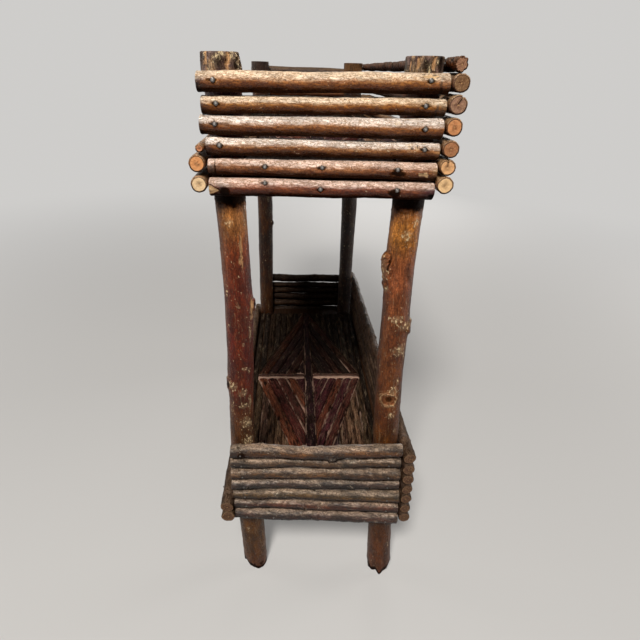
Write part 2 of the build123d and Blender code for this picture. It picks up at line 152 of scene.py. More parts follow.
def rings_of(points):
    """Middles and radii of a post's level cross sections, from the ground up."""
    levels, counts = np.unique(np.round(points[:, 2], 2), return_counts=True)
    middles, radii = [], []
    for level in levels[counts >= 30]:
        ring = points[np.abs(points[:, 2] - level) < 0.02]
        middles.append((ring.min(0) + ring.max(0)) / 2)
        radii.append(np.ptp(ring[:, :2], axis=0).min() / 2)
    return np.array(middles), np.array(radii)


def nails_of(node):
    """Point under the head, way in, length, shank radius and head radius of each nail."""
    found = []
    for points in cad_parts(node):
        axis = int(np.argmax(np.ptp(points, axis=0)))
        across = [a for a in range(3) if a != axis]
        middle = (points.min(0) + points.max(0)) / 2
        reach = np.linalg.norm(points[:, across] - middle[across], axis=1)
        head = points[reach > reach.max() - 0.05]
        way = np.zeros(3)
        way[axis] = 1 if head[:, axis].mean() < middle[axis] else -1
        base = middle.copy()
        base[axis] = head[:, axis].max() if way[axis] > 0 else head[:, axis].min()
        tip = np.dot(points - middle, way) > 0.4 * np.ptp(points[:, axis])
        found.append((base, way, np.dot(points - base, way).max(), reach[tip].max(), reach.max()))
    return found


def strayed(nail, along, up):
    """A nail driven a little off its stick's middle line, its head still on the bark."""
    base, way, length, radius, head = nail
    level = np.array([abs(way[1]), abs(way[0]), 0])
    depth = NEAR_STICK_RADIUS - math.sqrt(NEAR_STICK_RADIUS ** 2 - up ** 2)
    return base + along * level + np.array([0, 0, up]) + depth * way, way, length - depth, radius, head


def hand_driven(found, seed):
    """The nails of a node as a hand drives them; those of the near end are placed one by one."""
    rng = random.Random(seed)
    near = sorted((nail for nail in found if nail[1][1] > 0.5), key=lambda nail: -nail[0][2])
    moved = [strayed(nail, rng.uniform(-2, 2), rng.uniform(-1, 1)) for nail in found if nail[1][1] < 0.5]
    brad_places = [[(0, 0.4)] * len(near)]
    places = near_tray_strays if near[0][4] > SMALLEST_NAIL_HEAD else brad_places
    first = 0
    for row in places:
        nails_in_row = sorted(near[first:first + len(row)], key=lambda nail: nail[0][0])
        moved += [strayed(nail, *place) for nail, place in zip(nails_in_row, row)]
        first += len(row)
    return moved


# right and up from the middle line, in mm, row by row from the top of the near tray wall
near_tray_strays = [[(-3.1, 1.1), (-0.5, 2.2)], [(-2.4, 1.1), (-1.7, 0.8)], [(-4.5, 1.3), (-0.4, 0.4)],
                    [(-2.1, 1.1), (1.5, 1.6)], [(-0.6, 1.6), (0.8, 2.1), (0.0, 1.8)],
                    [(-1.0, 4.6), (-0.2, 0.8), (1.0, 1.2)]]
nails = {node: hand_driven(nails_of(node), 40) for node in ("tray_nails", "shelf_brads")}
nail_heads = [(base, way, head) for found in nails.values() for base, way, _, _, head in found]


# ---------------------------------------------------------------- building meshes
def colour(text):
    """Linear colour from a written sRGB one."""
    values = np.array([int(text[i:i + 2], 16) / 255 for i in (0, 2, 4)])
    return np.where(values > 0.04045, ((values + 0.055) / 1.055) ** 2.4, values / 12.92)


def placed(name, data):
    """A new object in the scene."""
    thing = bpy.data.objects.new(name, data)
    bpy.context.scene.collection.objects.link(thing)
    return thing


def build(name, parts, materials, slot, *nodes):
    """One object from several parts, riding on the root and standing for CAD nodes."""
    low, high = [np.array(corner) for corner in cad_box]
    verts = np.clip(np.concatenate([part["verts"] for part in parts]) * MM, low, high)
    faces, kinds, first = [], [], 0
    for part in parts:
        faces += [[first + v for v in face] for face in part["faces"]]
        kinds += part["kinds"]
        first += len(part["verts"])
    mesh = bpy.data.meshes.new(name)
    mesh.from_pydata(verts.tolist(), [], faces)
    mesh.polygons.foreach_set("material_index", kinds)
    for key, kind, field in (("grain", "FLOAT_VECTOR", "vector"), ("mask", "FLOAT_COLOR", "color"),
                             ("tone", "FLOAT_COLOR", "color")):
        layer = mesh.attributes.new(key, kind, "POINT")
        values = np.concatenate([part[key] for part in parts]).astype(np.float32)
        layer.data.foreach_set(field, values.ravel())
    for material in materials:
        mesh.materials.append(material)
    mesh.polygons.foreach_set("use_smooth", [True] * len(mesh.polygons))
    mesh.set_sharp_from_angle(angle=math.radians(50))
    mesh.validate()
    mesh.update()
    piece = placed(name, mesh)
    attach(piece, "root")
    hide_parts(*nodes)


def tube_faces(rows, around):
    """Four-sided faces between closed rows of vertices."""
    return [[a * around + i, a * around + j, (a + 1) * around + j, (a + 1) * around + i]
            for a in range(rows - 1) for i, j in zip(range(around), [*range(1, around), 0])]


def grid_faces(rows, around, flipped):
    """Faces of a tube of vertex rows, closed by one middle vertex beyond each end."""
    faces, low, last = tube_faces(rows, around), rows * around, (rows - 1) * around
    for i in range(around):
        j = (i + 1) % around
        faces += [[low, j, i], [low + 1, last + i, last + j]]
    return [face[::-1] for face in faces] if flipped else faces


def shift_of(seed):
    """Where in the grain a piece was cut, so that no two pieces look alike."""
    rng = random.Random(seed)
    return np.array([rng.uniform(0, 3000), rng.uniform(-900, 900), rng.uniform(-900, 900)])


# ---------------------------------------------------------------- the bark of one pole
def angle_from(T, bearing):
    """Angle from a bearing given in degrees, from -pi to pi."""
    return (T - math.radians(bearing) + math.pi) % (2 * math.pi) - math.pi


class Skin:
    """The bark of one pole on a grid: S mm along it and T round it.

    bump is its relief in mm. mask says, from 0 to 1, where it is torn off ("peel"), stained
    ("dark", which on level poles also holds painted shade along the underside) or flecked ("pale",
    which also holds a painted highlight along their tops).
    """

    def __init__(self, length, stations, radii, look, seed):
        bevel = look["bevel"]
        lip = bevel * np.array([0.0, 0.12, 0.35, 0.7, 1.1])
        count = int((length - 4 * bevel) / look["spacing"])
        inner = np.linspace(1.8 * bevel, length - 1.8 * bevel, count)
        self.s = np.concatenate([lip, inner, length - lip[::-1]])
        theta = np.arange(look["around"]) * 2 * math.pi / look["around"]
        self.S, self.T = np.meshgrid(self.s, theta, indexing="ij")
        self.length, self.seed = length, seed
        self.radius = np.interp(self.S, stations, radii)
        flat_x, flat_y = self.radius * np.cos(self.T), self.radius * np.sin(self.T)
        self.x, self.y = self.twisted(flat_x, flat_y, look["pitch"])
        self.from_end = np.minimum(self.S, length - self.S)
        self.bump = np.zeros_like(self.S)
        self.mask = {kind: np.zeros_like(self.S) for kind in ("peel", "dark", "pale")}

    def twisted(self, x, y, pitch):
        """Cross-section coordinates that turn round once in a pitch, as grain winds up a pole."""
        turn = 2 * math.pi * self.S / pitch
        return x * np.cos(turn) - y * np.sin(turn), x * np.sin(turn) + y * np.cos(turn)

    def noise(self, along, across, layer, kind=noise):
        """Noise so many mm long and wide; each layer number is a pattern of its own."""
        return kind(self.S / along, self.x / across, self.y / across, self.seed + layer)

    def paint(self, kind, share):
        """Let a kind of marking show at least this much."""
        self.mask[kind] = np.maximum(self.mask[kind], share)


def stick_relief(skin):
    """Tight young bark: slanting wrinkles between calmer stretches, slightly uneven girth."""
    patch = smooth(-0.5, 0.5, skin.noise(20, 7, 3))
    wrinkle = skin.noise(10, 1.9, 1, plates)
    fine = skin.noise(5, 1.3, 2, plates)
    skin.bump += 0.34 * skin.noise(42, 12, 0, rough)
    skin.bump += (0.16 + 0.26 * patch) * (wrinkle - 0.5) + 0.18 * (fine - 0.5)
    skin.paint("dark", 0.38 * fade(0.0, 0.3, wrinkle) * (0.4 + 0.6 * patch))
    skin.paint("pale", 0.4 * smooth(0.20, 0.85, skin.noise(14, 5, 4)))


def twig_relief(skin):
    """Thin twig: knobbly bark, swollen joints at uneven distances, bud scars."""
    rng = random.Random(skin.seed)
    wrinkle = skin.noise(3, 1.8, 2, plates)
    skin.bump += 0.45 * skin.noise(26, 9, 0, rough) + 0.34 * skin.noise(6, 3.5, 1) + 0.34 * (wrinkle - 0.5)
    skin.paint("dark", 0.5 * fade(0.0, 0.35, wrinkle))
    skin.paint("pale", 0.6 * smooth(0.1, 0.8, skin.noise(12, 5, 3)))
    at = rng.uniform(8, 24)
    while at < skin.length:
        swell = bell(skin.S, at, rng.uniform(2.0, 4.5))
        turn = rng.uniform(0, 2 * math.pi)
        bud = np.exp(-(1 - np.cos(np.arctan2(skin.y, skin.x) - turn)) * 6) * swell
        skin.bump += rng.uniform(0, 0.4) * swell + rng.uniform(0.3, 1.2) * bud
        skin.paint("dark", 0.8 * bud ** 3)
        skin.paint("pale", 0.6 * bud)
        at += rng.uniform(14, 52)


def ridged_relief(skin):
    """A climbing twig: deep ropy ridges that wind round it."""
    u, v = skin.twisted(skin.x, skin.y, 60)
    ridge = plates(skin.S / 26, u / 2, v / 2, skin.seed)
    skin.bump += 0.4 * skin.noise(30, 9, 1, rough) + 1.2 * (ridge - 0.6)
    skin.paint("dark", 0.95 * fade(0.1, 0.6, ridge))


def post_relief(skin):
    """Thick pole: gentle swells, and bark with small raised pores and short crusts."""
    pore = smooth(0.50, 0.80, skin.noise(2.6, 2.6, 2))
    wrinkle = skin.noise(9, 2.2, 5, plates)
    skin.bump += 0.55 * skin.noise(60, 16, 0, rough) + 0.25 * skin.noise(12, 5, 1)
    skin.bump += 0.30 * pore + 0.20 * (wrinkle - 0.5)
    skin.paint("pale", 0.55 * pore)
    skin.paint("pale", 0.6 * smooth(0.35, 0.95, skin.noise(26, 10, 3, rough)))
    skin.paint("dark", 0.5 * smooth(0.25, 0.9, skin.noise(34, 7, 4)))


def press(skin, mark):
    """Add one knot, scar, tear or stain; q is 0 in its middle and 1 at its rim."""
    at, bearing, half_length, half_width, height, kind = mark
    lengthways = (skin.S - at) / half_length
    sideways = angle_from(skin.T, bearing) * skin.radius / half_width
    ragged = 0.3 * skin.noise(2.6, 2.6, int(at))
    q = np.hypot(lengthways, sideways) * (1 + ragged)
    if kind == "stub":
        skin.bump += height * np.maximum(fade(0.7, 1.1, q), 0.45 * bell(q, 0, 1.4))
        skin.bump -= 0.3 * height * fade(0.1, 0.6, q)
        skin.paint("dark", 0.9 * fade(0.3, 0.65, q))
        skin.paint("pale", 0.6 * smooth(0.6, 0.8, q) * fade(1.0, 1.3, q))
    elif kind == "spur":
        climb = np.clip(0.5 + 0.5 * lengthways, 0, 1)
        body = fade(0.55, 1.05, q)
        skin.bump += height * (0.3 + 0.7 * climb ** 1.5) * body * (1 + 0.25 * skin.noise(2, 1.2, 6))
        skin.paint("pale", 0.75 * body)
        skin.paint("peel", 0.5 * smooth(0.1, 0.6, body * skin.noise(4, 1.2, 4)))
        skin.paint("dark", 0.55 * bell(q, 1.1, 0.15))
    elif kind == "knob":
        skin.bump += height * np.exp(-1.5 * q ** 2)
        skin.paint("dark", 0.35 * fade(0.1, 0.7, q))
    elif kind == "ring":
        q = q / (1 + ragged) * (1 + 0.45 * ragged)
        lip = bell(q, 1, 0.11)
        wrinkles = np.cos(2 * math.pi * q / 0.32) * smooth(1.0, 1.2, q) * fade(1.3, 1.9, q)
        wrinkles += 0.6 * np.cos(2 * math.pi * q / 0.3) * fade(0.4, 0.9, q)
        skin.bump += height * lip + 0.3 * height * wrinkles - 0.9 * height * fade(0.2, 0.9, q)
        skin.mask["pale"] *= smooth(0.8, 1.0, q)
        skin.paint("pale", 1.2 * np.maximum(wrinkles, lip))
        skin.paint("peel", np.clip(0.5 * lip + 0.4 * wrinkles, 0, 1))
        skin.mask["dark"] *= smooth(0.9, 1.2, q)
        skin.paint("dark", 0.75 * fade(0.3, 0.75, q))
    elif kind == "flecks":
        skin.bump += height * fade(0.2, 1.1, q) * skin.noise(2, 2, 3)
        skin.paint("pale", fade(0.2, 1.15, q))
    elif kind in ("peel", "wedge"):
        if kind == "peel":
            q *= 1 + 0.45 * skin.noise(1.1, 1.1, 7)
            torn = fade(0.8, 1.0, q)
            skin.bump += 0.3 * bell(q, 1.08, 0.12)
            rim = 0.7 * bell(q, 1.02, 0.1)
        else:
            q = lengthways + np.abs(sideways) + 0.4 * ragged
            torn = fade(0.85, 1.0, q)
            rim = 0.9 * bell(q, 1.12, 0.16)
        skin.bump -= height * torn
        skin.paint("peel", torn)
        skin.mask["dark"] *= 1 - torn
        skin.paint("dark", rim)
    elif kind == "dent":
        skin.bump -= height * np.exp(-2 * q ** 2)
        skin.paint("dark", 0.95 * fade(0.3, 1.1, q))
    elif kind == "stain":
        skin.paint("dark", height * fade(0.4, 1.2, q))


def stain_nails(skin, start, along, side, rise, strength):
    """A dark diamond around each nail head that bears on this pole, pressed in a little."""
    for base, way, head in nail_heads:
        at = float(np.dot(base - start, along))
        off = base - start - at * along
        if not 0 < at < skin.length or np.dot(off, way) > 0:
            continue
        here = skin.radius[np.abs(skin.s - at).argmin(), 0]
        if abs(np.linalg.norm(off) - here) > 1.6:
            continue
        bearing = math.degrees(math.atan2(np.dot(off, rise), np.dot(off, side)))
        lengthways = np.abs(skin.S - at) / (2.3 * head)
        sideways = np.abs(angle_from(skin.T, bearing)) * skin.radius / (1.55 * head)
        q = (lengthways + sideways) * (1 + 0.3 * skin.noise(1.6, 1.6, 8))
        skin.paint("dark", strength * fade(0.5, 1.4, q))
        skin.mask["pale"] *= smooth(0.8, 1.3, q)
        skin.bump -= 0.3 * fade(0.4, 1.0, q)


def break_foot(skin, back, bearing, half_width):
    """How far a broken start lies back and in; a splinter is left at a bearing."""
    left = bell(angle_from(skin.T, bearing), 0, math.radians(half_width))
    chips = noise(skin.T * 0, np.cos(skin.T) * 2.6, np.sin(skin.T) * 2.6, skin.seed + 6)
    chips += 0.15 * noise(skin.T * 0, np.cos(skin.T) * 7, np.sin(skin.T) * 7, skin.seed + 7)
    shift = back * np.clip(0.75 + 0.45 * chips, 0, 1.3) * (1 - left) * fade(0, 3.2 * back, skin.S)
    rot = smooth(-0.3, 0.4, skin.noise(5, 3, 11)) * fade(2, 26, skin.S)
    skin.paint("dark", np.maximum(0.95 * fade(1, 9, skin.S - shift), 0.85 * rot))
    return shift, 0.9 * (1 - left) * fade(0, 1.2 * back, skin.S) * (1 + chips)


def bark_tone(skin, tones, tints):
    """Two bark colours that come and go, with other tints laid over them."""
    share = smooth(-0.5, 0.5, skin.noise(34, 9, 9, rough))[..., None]
    tone = colour(tones[0]) * (1 - share) + colour(tones[1]) * share
    place = skin.S + 1.5 * skin.noise(5, 4, 10)
    for at, reach, tint, *around in tints:
        gap = ((place - at) / reach) ** 2
        if around:
            gap = gap + (angle_from(skin.T, around[0]) / math.radians(around[1])) ** 2
        near = np.exp(-gap)[..., None]
        tone = tone * (1 - near) + near * colour(tint)
    return tone


def painted_light_and_shade(skin, tone, look):
    """Painted light on a level pole's tone: a painted highlight along its top, a painted warm half-shade down
    its face and painted shade below.
    """
    top = np.sin(skin.T) + 0.16 * skin.noise(5, 0.8, 12) + 0.10 * skin.noise(15, 2.5, 13)
    painted_top_shading, strength, *span = look["painted_top_shading"]
    # painted highlight: a top colour mixed along the upper side, darker on the far twigs as painted shade
    top_shading_share = strength * smooth(*span, top)[..., None]
    # painted half-shade: a warmer, darker band down the face
    painted_amber_shade = look["painted_amber_shade"] * (smooth(0.5, 0.05, top) * smooth(-0.7, -0.1, top))[..., None]
    # painted shade: darker and browner towards the underside
    shaded = smooth(-0.32, 0.38, -top)[..., None]
    tone = tone * (1 - painted_amber_shade * (1 - np.array([0.98, 0.72, 0.40])))
    tone = tone * (1 - shaded * (1 - np.array([0.34, 0.22, 0.12])))
    # painted shade: the dark mask spreads over the underside, darkening it and taking away its sheen
    hidden = 0.25 * smooth(-0.15, 0.1, -top) + 0.5 * smooth(0.0, 0.9, -top)
    skin.paint("dark", hidden * (1 - 0.8 * skin.mask["peel"]))
    # painted highlight: more pale flecks along the top
    skin.mask["pale"] += 0.18 * np.maximum(top, 0)
    return tone * (1 - top_shading_share) + top_shading_share * colour(painted_top_shading)


# ---------------------------------------------------------------- poles
# the top colour of each look, with its strength and span, is a painted highlight along a level pole's top
# (FAR_TWIG's darker one is painted shade); the amber strength paints a warm half-shade down the face
STICK = {"relief": stick_relief, "spacing": 0.95, "around": 58, "pitch": 900, "bevel": 1.2, "sway": 0.25,
         "stain": 0.95, "crack": 0.8, "painted_top_shading": ("fce6ca", 0.72, 0.05, 0.60), "painted_amber_shade": 0.7}
PALE_HIGHLIGHT_STICK = dict(STICK, painted_top_shading=("fff4ea", 0.74, 0.08, 0.64))
ROSY_HIGHLIGHT_STICK = dict(STICK, painted_top_shading=("f8dccb", 0.72, 0.10, 0.72))
FAR_STICK = dict(STICK, spacing=1.6, around=36, painted_top_shading=("a8845f", 0.3, 0.1, 0.8))
SIDE_STICK = dict(STICK, spacing=1.9, around=36, bevel=0.8, painted_top_shading=("c8a47c", 0.4, 0.0, 0.7))
ROPY_STICK = dict(SIDE_STICK, relief=ridged_relief, spacing=1.4, around=44, painted_top_shading=("8a6c54", 0.3, 0.0, 0.7))
TWIG = {"relief": twig_relief, "spacing": 1.0, "around": 52, "pitch": 500, "bevel": 1.0, "sway": 0.5,
        "stain": 0.3, "crack": 0.8, "painted_top_shading": ("dec2a6", 0.46, 0.42, 1.0), "painted_amber_shade": 0.45}
FAR_TWIG = dict(TWIG, spacing=1.7, around=34, painted_top_shading=("4a3c30", 0.2, 0.0, 0.7))
SIDE_TWIG = dict(TWIG, spacing=1.9, around=34, bevel=0.8, painted_top_shading=("8c7460", 0.25, 0.3, 0.9))
POST = {"relief": post_relief, "spacing": 1.0, "around": 100, "pitch": 2400, "bevel": 1.2, "sway": 0.0,
        "stain": 0.0, "crack": 1.6}
FAR_POST = dict(POST, spacing=1.8, around=64)
CAP = (0.97, 0.90, 0.80, 0.68, 0.55, 0.42, 0.30, 0.18, 0.08)  # rings of a sawn end, as shares of its rim


def sawn_cap(rim, grain, outward, seed, depth, split):
    """Rows of points, grain and mask from a pole's rim in to the middle of its sawn end."""
    rng = random.Random(seed)
    T = np.arange(len(rim)) * 2 * math.pi / len(rim)
    centre, radius = rim.mean(0), np.linalg.norm(rim - rim.mean(0), axis=1).mean()
    cracks = [(rng.uniform(0, 360), 0.22, depth * rng.uniform(0.2, 0.6), rng.uniform(0.4, 0.8))
              for _ in range(2)]
    if split:
        cracks.append((*split, 1.1))
    rows, grains, masks = [], [], []
    for share in CAP:
        flat = grain * (1, share, share)
        relief = 0.30 * noise(flat[:, 1] / 1.7, flat[:, 2] / 1.7, flat[:, 0], seed)
        relief += 0.12 * noise(flat[:, 1] / 0.8, flat[:, 2] / 0.8, flat[:, 0], seed + 1)
        groove = np.zeros(len(rim))
        for at, width, deep, reach in cracks:
            off = np.abs(angle_from(T, at)) * share * radius
            groove = np.maximum(groove, deep * np.clip(1 - off / (2 * width), 0, 1) * (share < reach))
        rows.append(centre + (rim - centre) * share + (relief * (1 - share ** 4) - groove)[:, None] * outward)
        grains.append(flat)
        dark = np.clip(groove / 1.6, 0, 0.85)
        masks.append(np.stack([0 * dark, dark, 0 * dark, 0 * dark + share], axis=1))
    return rows, grains, masks


def axes_of(middles, outward):
    """Unit vectors along a pole, out of the table, and up (or towards +Y on a post)."""
    along = (middles[-1] - middles[0]) / np.linalg.norm(middles[-1] - middles[0])
    side = np.array(outward, float) - np.dot(outward, along) * along
    side /= np.linalg.norm(side)
    rise = np.cross(along, side)
    if rise[2] < -0.5 or (abs(rise[2]) < 0.5 and rise[1] < 0):
        rise = -rise
    return along, side, rise


def pole(middles, radii, outward, look, seed, tones, cap="b98a5c", marks=(), drift=((0, 0), (1, 0)),
         tints=(), split=None, foot=None):
    """A bark-on pole along a line of middles, with sawn ends.

    outward is the side that faces away from the table; bearings are degrees from it, towards +Z
    on a level pole and towards +Y on a post. tones are two bark colours that come and go, cap is
    the sawn ends' colour. marks are (mm from the start, bearing, half length, half width, height,
    kind). drift lists (share of the length, mm) that the middle rises off its line. tints are
    (mm from the start, reach, colour), and with two more values lie at a bearing and reach so
    many degrees. split is a V crack in both ends: (bearing, half width, depth). foot is a broken
    start: (how far back, bearing of the splinter that is left, its half width in degrees).
    """
    lengths = np.linalg.norm(np.diff(middles, axis=0), axis=1)
    stations = np.concatenate([[0], np.cumsum(lengths)])
    along, side, rise = axes_of(middles, outward)
    skin = Skin(lengths.sum(), stations, radii, look, seed)
    S, T, length = skin.S, skin.T, skin.length
    look["relief"](skin)
    for mark in marks:
        press(skin, mark)
    if look["stain"]:
        stain_nails(skin, middles[0], along, side, rise, look["stain"])

    worn = np.clip(1 - skin.from_end / look["bevel"], 0, 1)
    reach = skin.radius + skin.bump - look["bevel"] * (1 - np.sqrt(1 - worn ** 2))
    shift = np.zeros_like(S)
    if split:
        off = np.abs(angle_from(T, split[0])) * skin.radius
        notch = np.clip(1 - off / (1.6 * split[1]), 0, 1) * fade(2, 16, skin.from_end)
        reach -= 0.3 * skin.radius * notch
        skin.paint("dark", 0.7 * notch)
    if foot:
        shift, thinner = break_foot(skin, *foot)
        reach -= thinner
    t = skin.s / length
    wave = 2 * math.pi * (t * length / 95 + random.Random(seed).random())
    drifts = [np.interp(np.clip(t + d, 0, 1), *zip(*drift)) for d in (-0.06, -0.03, 0, 0.03, 0.06)]
    rises = sum(drifts) / len(drifts) + look["sway"] * np.sin(wave)
    line = np.stack([np.interp(skin.s, stations, middles[:, a]) for a in range(3)], axis=1)
    line = line + rises[:, None] * rise + (0.5 * look["sway"] * np.cos(1.3 * wave))[:, None] * side
    ring = np.cos(T)[..., None] * side + np.sin(T)[..., None] * rise
    points = line[:, None, :] + reach[..., None] * ring + shift[..., None] * along

    tone = bark_tone(skin, tones, tints)
    is_level = abs(rise[2]) > 0.5
    # level poles get painted light: a highlight along the top and shade below
    if is_level:
        tone = painted_light_and_shade(skin, tone, look)
    grain = np.stack([S, skin.x, skin.y], axis=2)
    masks = np.stack([*skin.mask.values(), np.ones_like(S)], axis=2)
    start = sawn_cap(points[0], grain[0], -along, seed + 20, look["crack"], split)
    end = sawn_cap(points[-1], grain[-1], along, seed + 21, look["crack"], split)
    rows, grains, mask_rows = [before[::-1] + list(bark) + after
                               for before, bark, after in zip(start, (points, grain, masks), end)]
    around = look["around"]
    cap_kinds, cap_tone = [1] * (around * len(CAP)), np.tile(colour(cap), (around * len(CAP), 1))
    tone = np.concatenate([cap_tone, tone.reshape(-1, 3), cap_tone, cap_tone[:2]])
    return {
        "verts": np.concatenate(rows + [[rows[0].mean(0), rows[-1].mean(0)]]),
        "faces": grid_faces(len(rows), around, np.dot(np.cross(side, rise), along) < 0),
        "kinds": cap_kinds + [0] * (around * (len(points) - 1)) + cap_kinds + [1] * (2 * around),
        "grain": (np.concatenate(grains + [[[0, 0, 0], [length, 0, 0]]]) + shift_of(seed)) * MM,
        "mask": np.concatenate(mask_rows + [[[0, 0.4, 0, 0], [0, 0.4, 0, 0]]]),
        "tone": np.concatenate([tone, np.ones((len(tone), 1))], axis=1),
    }


# ---------------------------------------------------------------- materials
class Graph:
    """The nodes of a material or of the world, made and wired one call at a time."""

    def __init__(self, tree):
        self.tree = tree

    def fill(self, node, inputs):
        """Set a node's inputs to values, or link them to other nodes' outputs."""
        for key, value in inputs.items():
            if isinstance(value, bpy.types.NodeSocket):
                self.tree.links.new(value, node.inputs[key])
            else:
                node.inputs[key].default_value = value

    def node(self, kind, output, inputs, **settings):
        """One output of a new node."""
        node = self.tree.nodes.new("ShaderNode" + kind)
        for key, value in settings.items():
            setattr(node, key, value)
        self.fill(node, inputs)
        return node.outputs[output]

    def attribute(self, name, output):
        """One output of a mesh attribute."""
        return self.node("Attribute", output, {}, attribute_name=name)

    def object_place(self):
        """Coordinates in the piece's own axes, in metres."""
        return self.node("TexCoord", "Object", {})

    def stretched(self, vector, scale):
        """Coordinates scaled along each axis."""
        return self.node("Mapping", "Vector", {"Vector": vector, "Scale": scale})

    def noise(self, vector, scale, detail=4.0, roughness=0.55, distortion=0.0):
        """Noise from 0 to 1; scale is features per metre."""
        return self.node("TexNoise", "Fac", {"Vector": vector, "Scale": scale, "Detail": detail,
                                             "Roughness": roughness, "Distortion": distortion})

    def step(self, value, low, high, out_low=0.0, out_high=1.0):
        """A smooth step between two values."""
        return self.node("MapRange", "Result", {"Value": value, "From Min": low, "From Max": high,
                                                "To Min": out_low, "To Max": out_high},
                         interpolation_type="SMOOTHSTEP")

    def chain(self, operation, first, *others):
        """Values joined one after another by an arithmetic operation."""
        for other in others:
            first = self.node("Math", 0, {0: first, 1: other}, operation=operation)
        return first

    def times(self, *values):
        """A product."""
        return self.chain("MULTIPLY", *values)

    def plus(self, *values):
        """A sum."""
        return self.chain("ADD", *values)

    def mix(self, share, a, b, blend="MIX"):
        """Two colours mixed by a share."""
        a, b = [v if isinstance(v, bpy.types.NodeSocket) else (*v, 1.0) for v in (a, b)]
        return self.node("Mix", 2, {0: share, 6: a, 7: b}, data_type="RGBA", blend_type=blend)

    def mask(self):
        """Bare wood, stain (with painted shade under level poles) and pale flecks (with a painted highlight
        on their tops) of a piece, each from 0 to 1.
        """
        node = self.tree.nodes.new("ShaderNodeSeparateColor")
        self.fill(node, {0: self.attribute("mask", "Color")})
        return node.outputs["Red"], node.outputs["Green"], node.outputs["Blue"]

    def blend(self, share, a, b):
        """Two shaders mixed by a share."""
        return self.node("MixShader", 0, {0: share, 1: a, 2: b})

    def raised(self, height, strength, distance):
        """A normal from a height; distance is the relief's depth in metres."""
        return self.node("Bump", "Normal", {"Height": height, "Strength": strength, "Distance": distance})

    def pushed(self, vector, scale, reach):
        """Coordinates pushed about by noise, by up to a reach in metres."""
        wander = self.node("TexNoise", "Color", {"Vector": vector, "Scale": scale})
        return self.node("VectorMath", 0, {0: wander, 1: (reach, reach, reach), 2: vector},
                         operation="MULTIPLY_ADD")


def shader(name):
    """A new material with its graph and its Principled shader."""
    material = bpy.data.materials.new(name)
    material.use_nodes = True
    return material, Graph(material.node_tree), material.node_tree.nodes["Principled BSDF"]


# pale, peel, stain and crease colour the flecks, bare wood, stains and creases, and the stain colour
# also paints the shade along level poles' undersides; streak, mottle, furrow, thread and fleck say how
# strongly each shows; folds and specks are how many a metre holds, and slender is how far the folds are
# drawn out along the grain
BARK = {"pale": colour("e2c8a0"), "peel": colour("e0b888"), "stain": colour("140a06"),
        "crease": (0.62, 0.42, 0.24), "streak": 0.30, "mottle": 0.28, "furrow": 0.22, "folds": 560,
        "slender": 0.42, "thread": 0.2, "specks": 800, "fleck": 0.6, "gloss": 0.32, "sheen": 0.30,
        "depth": 0.00030, "coat": 0.04}


def bark_material(name, **changes):
    """Varnished bark: the pole's own tone, finely folded, mottled and streaked."""
    look = dict(BARK, **changes)
    material, graph, principled = shader(name)
    grain = graph.attribute("grain", "Vector")
    tone = graph.attribute("tone", "Color")
    torn, dark, light = graph.mask()
    bent = graph.pushed(grain, 200, 0.0030)
    fibres = graph.noise(graph.stretched(bent, (0.13, 1, 1)), 950, 4, 0.62)
    threads = graph.noise(graph.stretched(bent, (0.025, 1, 1)), 1300, 2, 0.5)
    blotches = graph.noise(graph.stretched(grain, (0.45, 1, 1)), 115, 5, 0.62, 0.4)
    folds = graph.noise(graph.stretched(bent, (look["slender"], 1, 1)), look["folds"], 3, 0.6, 0.8)
    off_fold = graph.node("Math", 0, {0: graph.plus(folds, -0.5)}, operation="ABSOLUTE")
    furrow = graph.step(off_fold, 0.0, 0.075)
    crumbs = graph.noise(graph.stretched(grain, (0.6, 1, 1)), 1400, 3, 0.7)
    specks = graph.noise(graph.stretched(bent, (0.5, 1, 1)), look["specks"], 2, 0.6)
    pores = graph.node("TexVoronoi", "Distance", {"Vector": grain, "Scale": 260})
    strength = graph.times(
        graph.step(blotches, 0.30, 0.72, 1.0 - look["mottle"], 1.0 + 0.55 * look["mottle"]),
        graph.step(fibres, 0.28, 0.72, 1.0 - look["streak"], 1.0 + 0.65 * look["streak"]),
        graph.step(furrow, 0.0, 1.0, 1.0 - look["furrow"], 1.12),
        graph.step(pores, 0.10, 0.18, 0.45, 1.0),
        graph.step(threads, 0.30, 0.42, 1.0 - look["thread"], 1.0))
    creased = graph.mix(1.0, tone, look["crease"], "MULTIPLY")
    body = graph.mix(graph.step(furrow, 0.0, 1.0, 0.75, 0.0), tone, creased)
    body = graph.mix(1.0, body, strength, "MULTIPLY")
    worn = graph.times(graph.step(threads, 0.62, 0.70), look["thread"], 0.5)
    rubbed = graph.mix(worn, body, look["pale"])
    # the pale mask also holds the painted highlight along level poles' tops
    clouded = graph.mix(graph.step(light, 0.3, 1.6, 0.0, 0.22), rubbed, look["pale"])
    fleck_edge = graph.plus(graph.times(light, -0.17), 0.71)
    flecks = graph.step(specks, fleck_edge, graph.plus(fleck_edge, 0.05), 0.0, look["fleck"])
    flecked = graph.mix(flecks, clouded, look["pale"])
    bare = graph.mix(graph.step(fibres, 0.3, 0.6), 0.45 * look["peel"], look["peel"])
    # the dark mask holds real stains and the painted shade along level poles' undersides; mixed towards the
    # stain colour, it also takes the sheen and coat away
    noisy_stain_and_painted_shade = graph.plus(dark, graph.times(graph.plus(crumbs, -0.5), 0.5))
    stain_and_painted_shade = graph.step(noisy_stain_and_painted_shade, 0.25, 0.95, 0.0, 0.95)
    height = graph.plus(graph.times(furrow, 0.6), graph.times(crumbs, 0.5), graph.times(fibres, 0.5))
    graph.fill(principled, {
        "Base Color": graph.mix(stain_and_painted_shade, graph.mix(torn, flecked, bare), look["stain"]),
        "Roughness": graph.step(crumbs, 0.3, 0.7, look["gloss"], look["gloss"] + 0.22),
        "Normal": graph.raised(height, 1.0, look["depth"]),
        "Specular IOR Level": graph.step(stain_and_painted_shade, 0.0, 0.6, look["sheen"], 0.02),
        "Coat Weight": graph.step(stain_and_painted_shade, 0.0, 0.6, look["coat"], 0.0),
        "Coat Roughness": 0.42,
    })
    return material


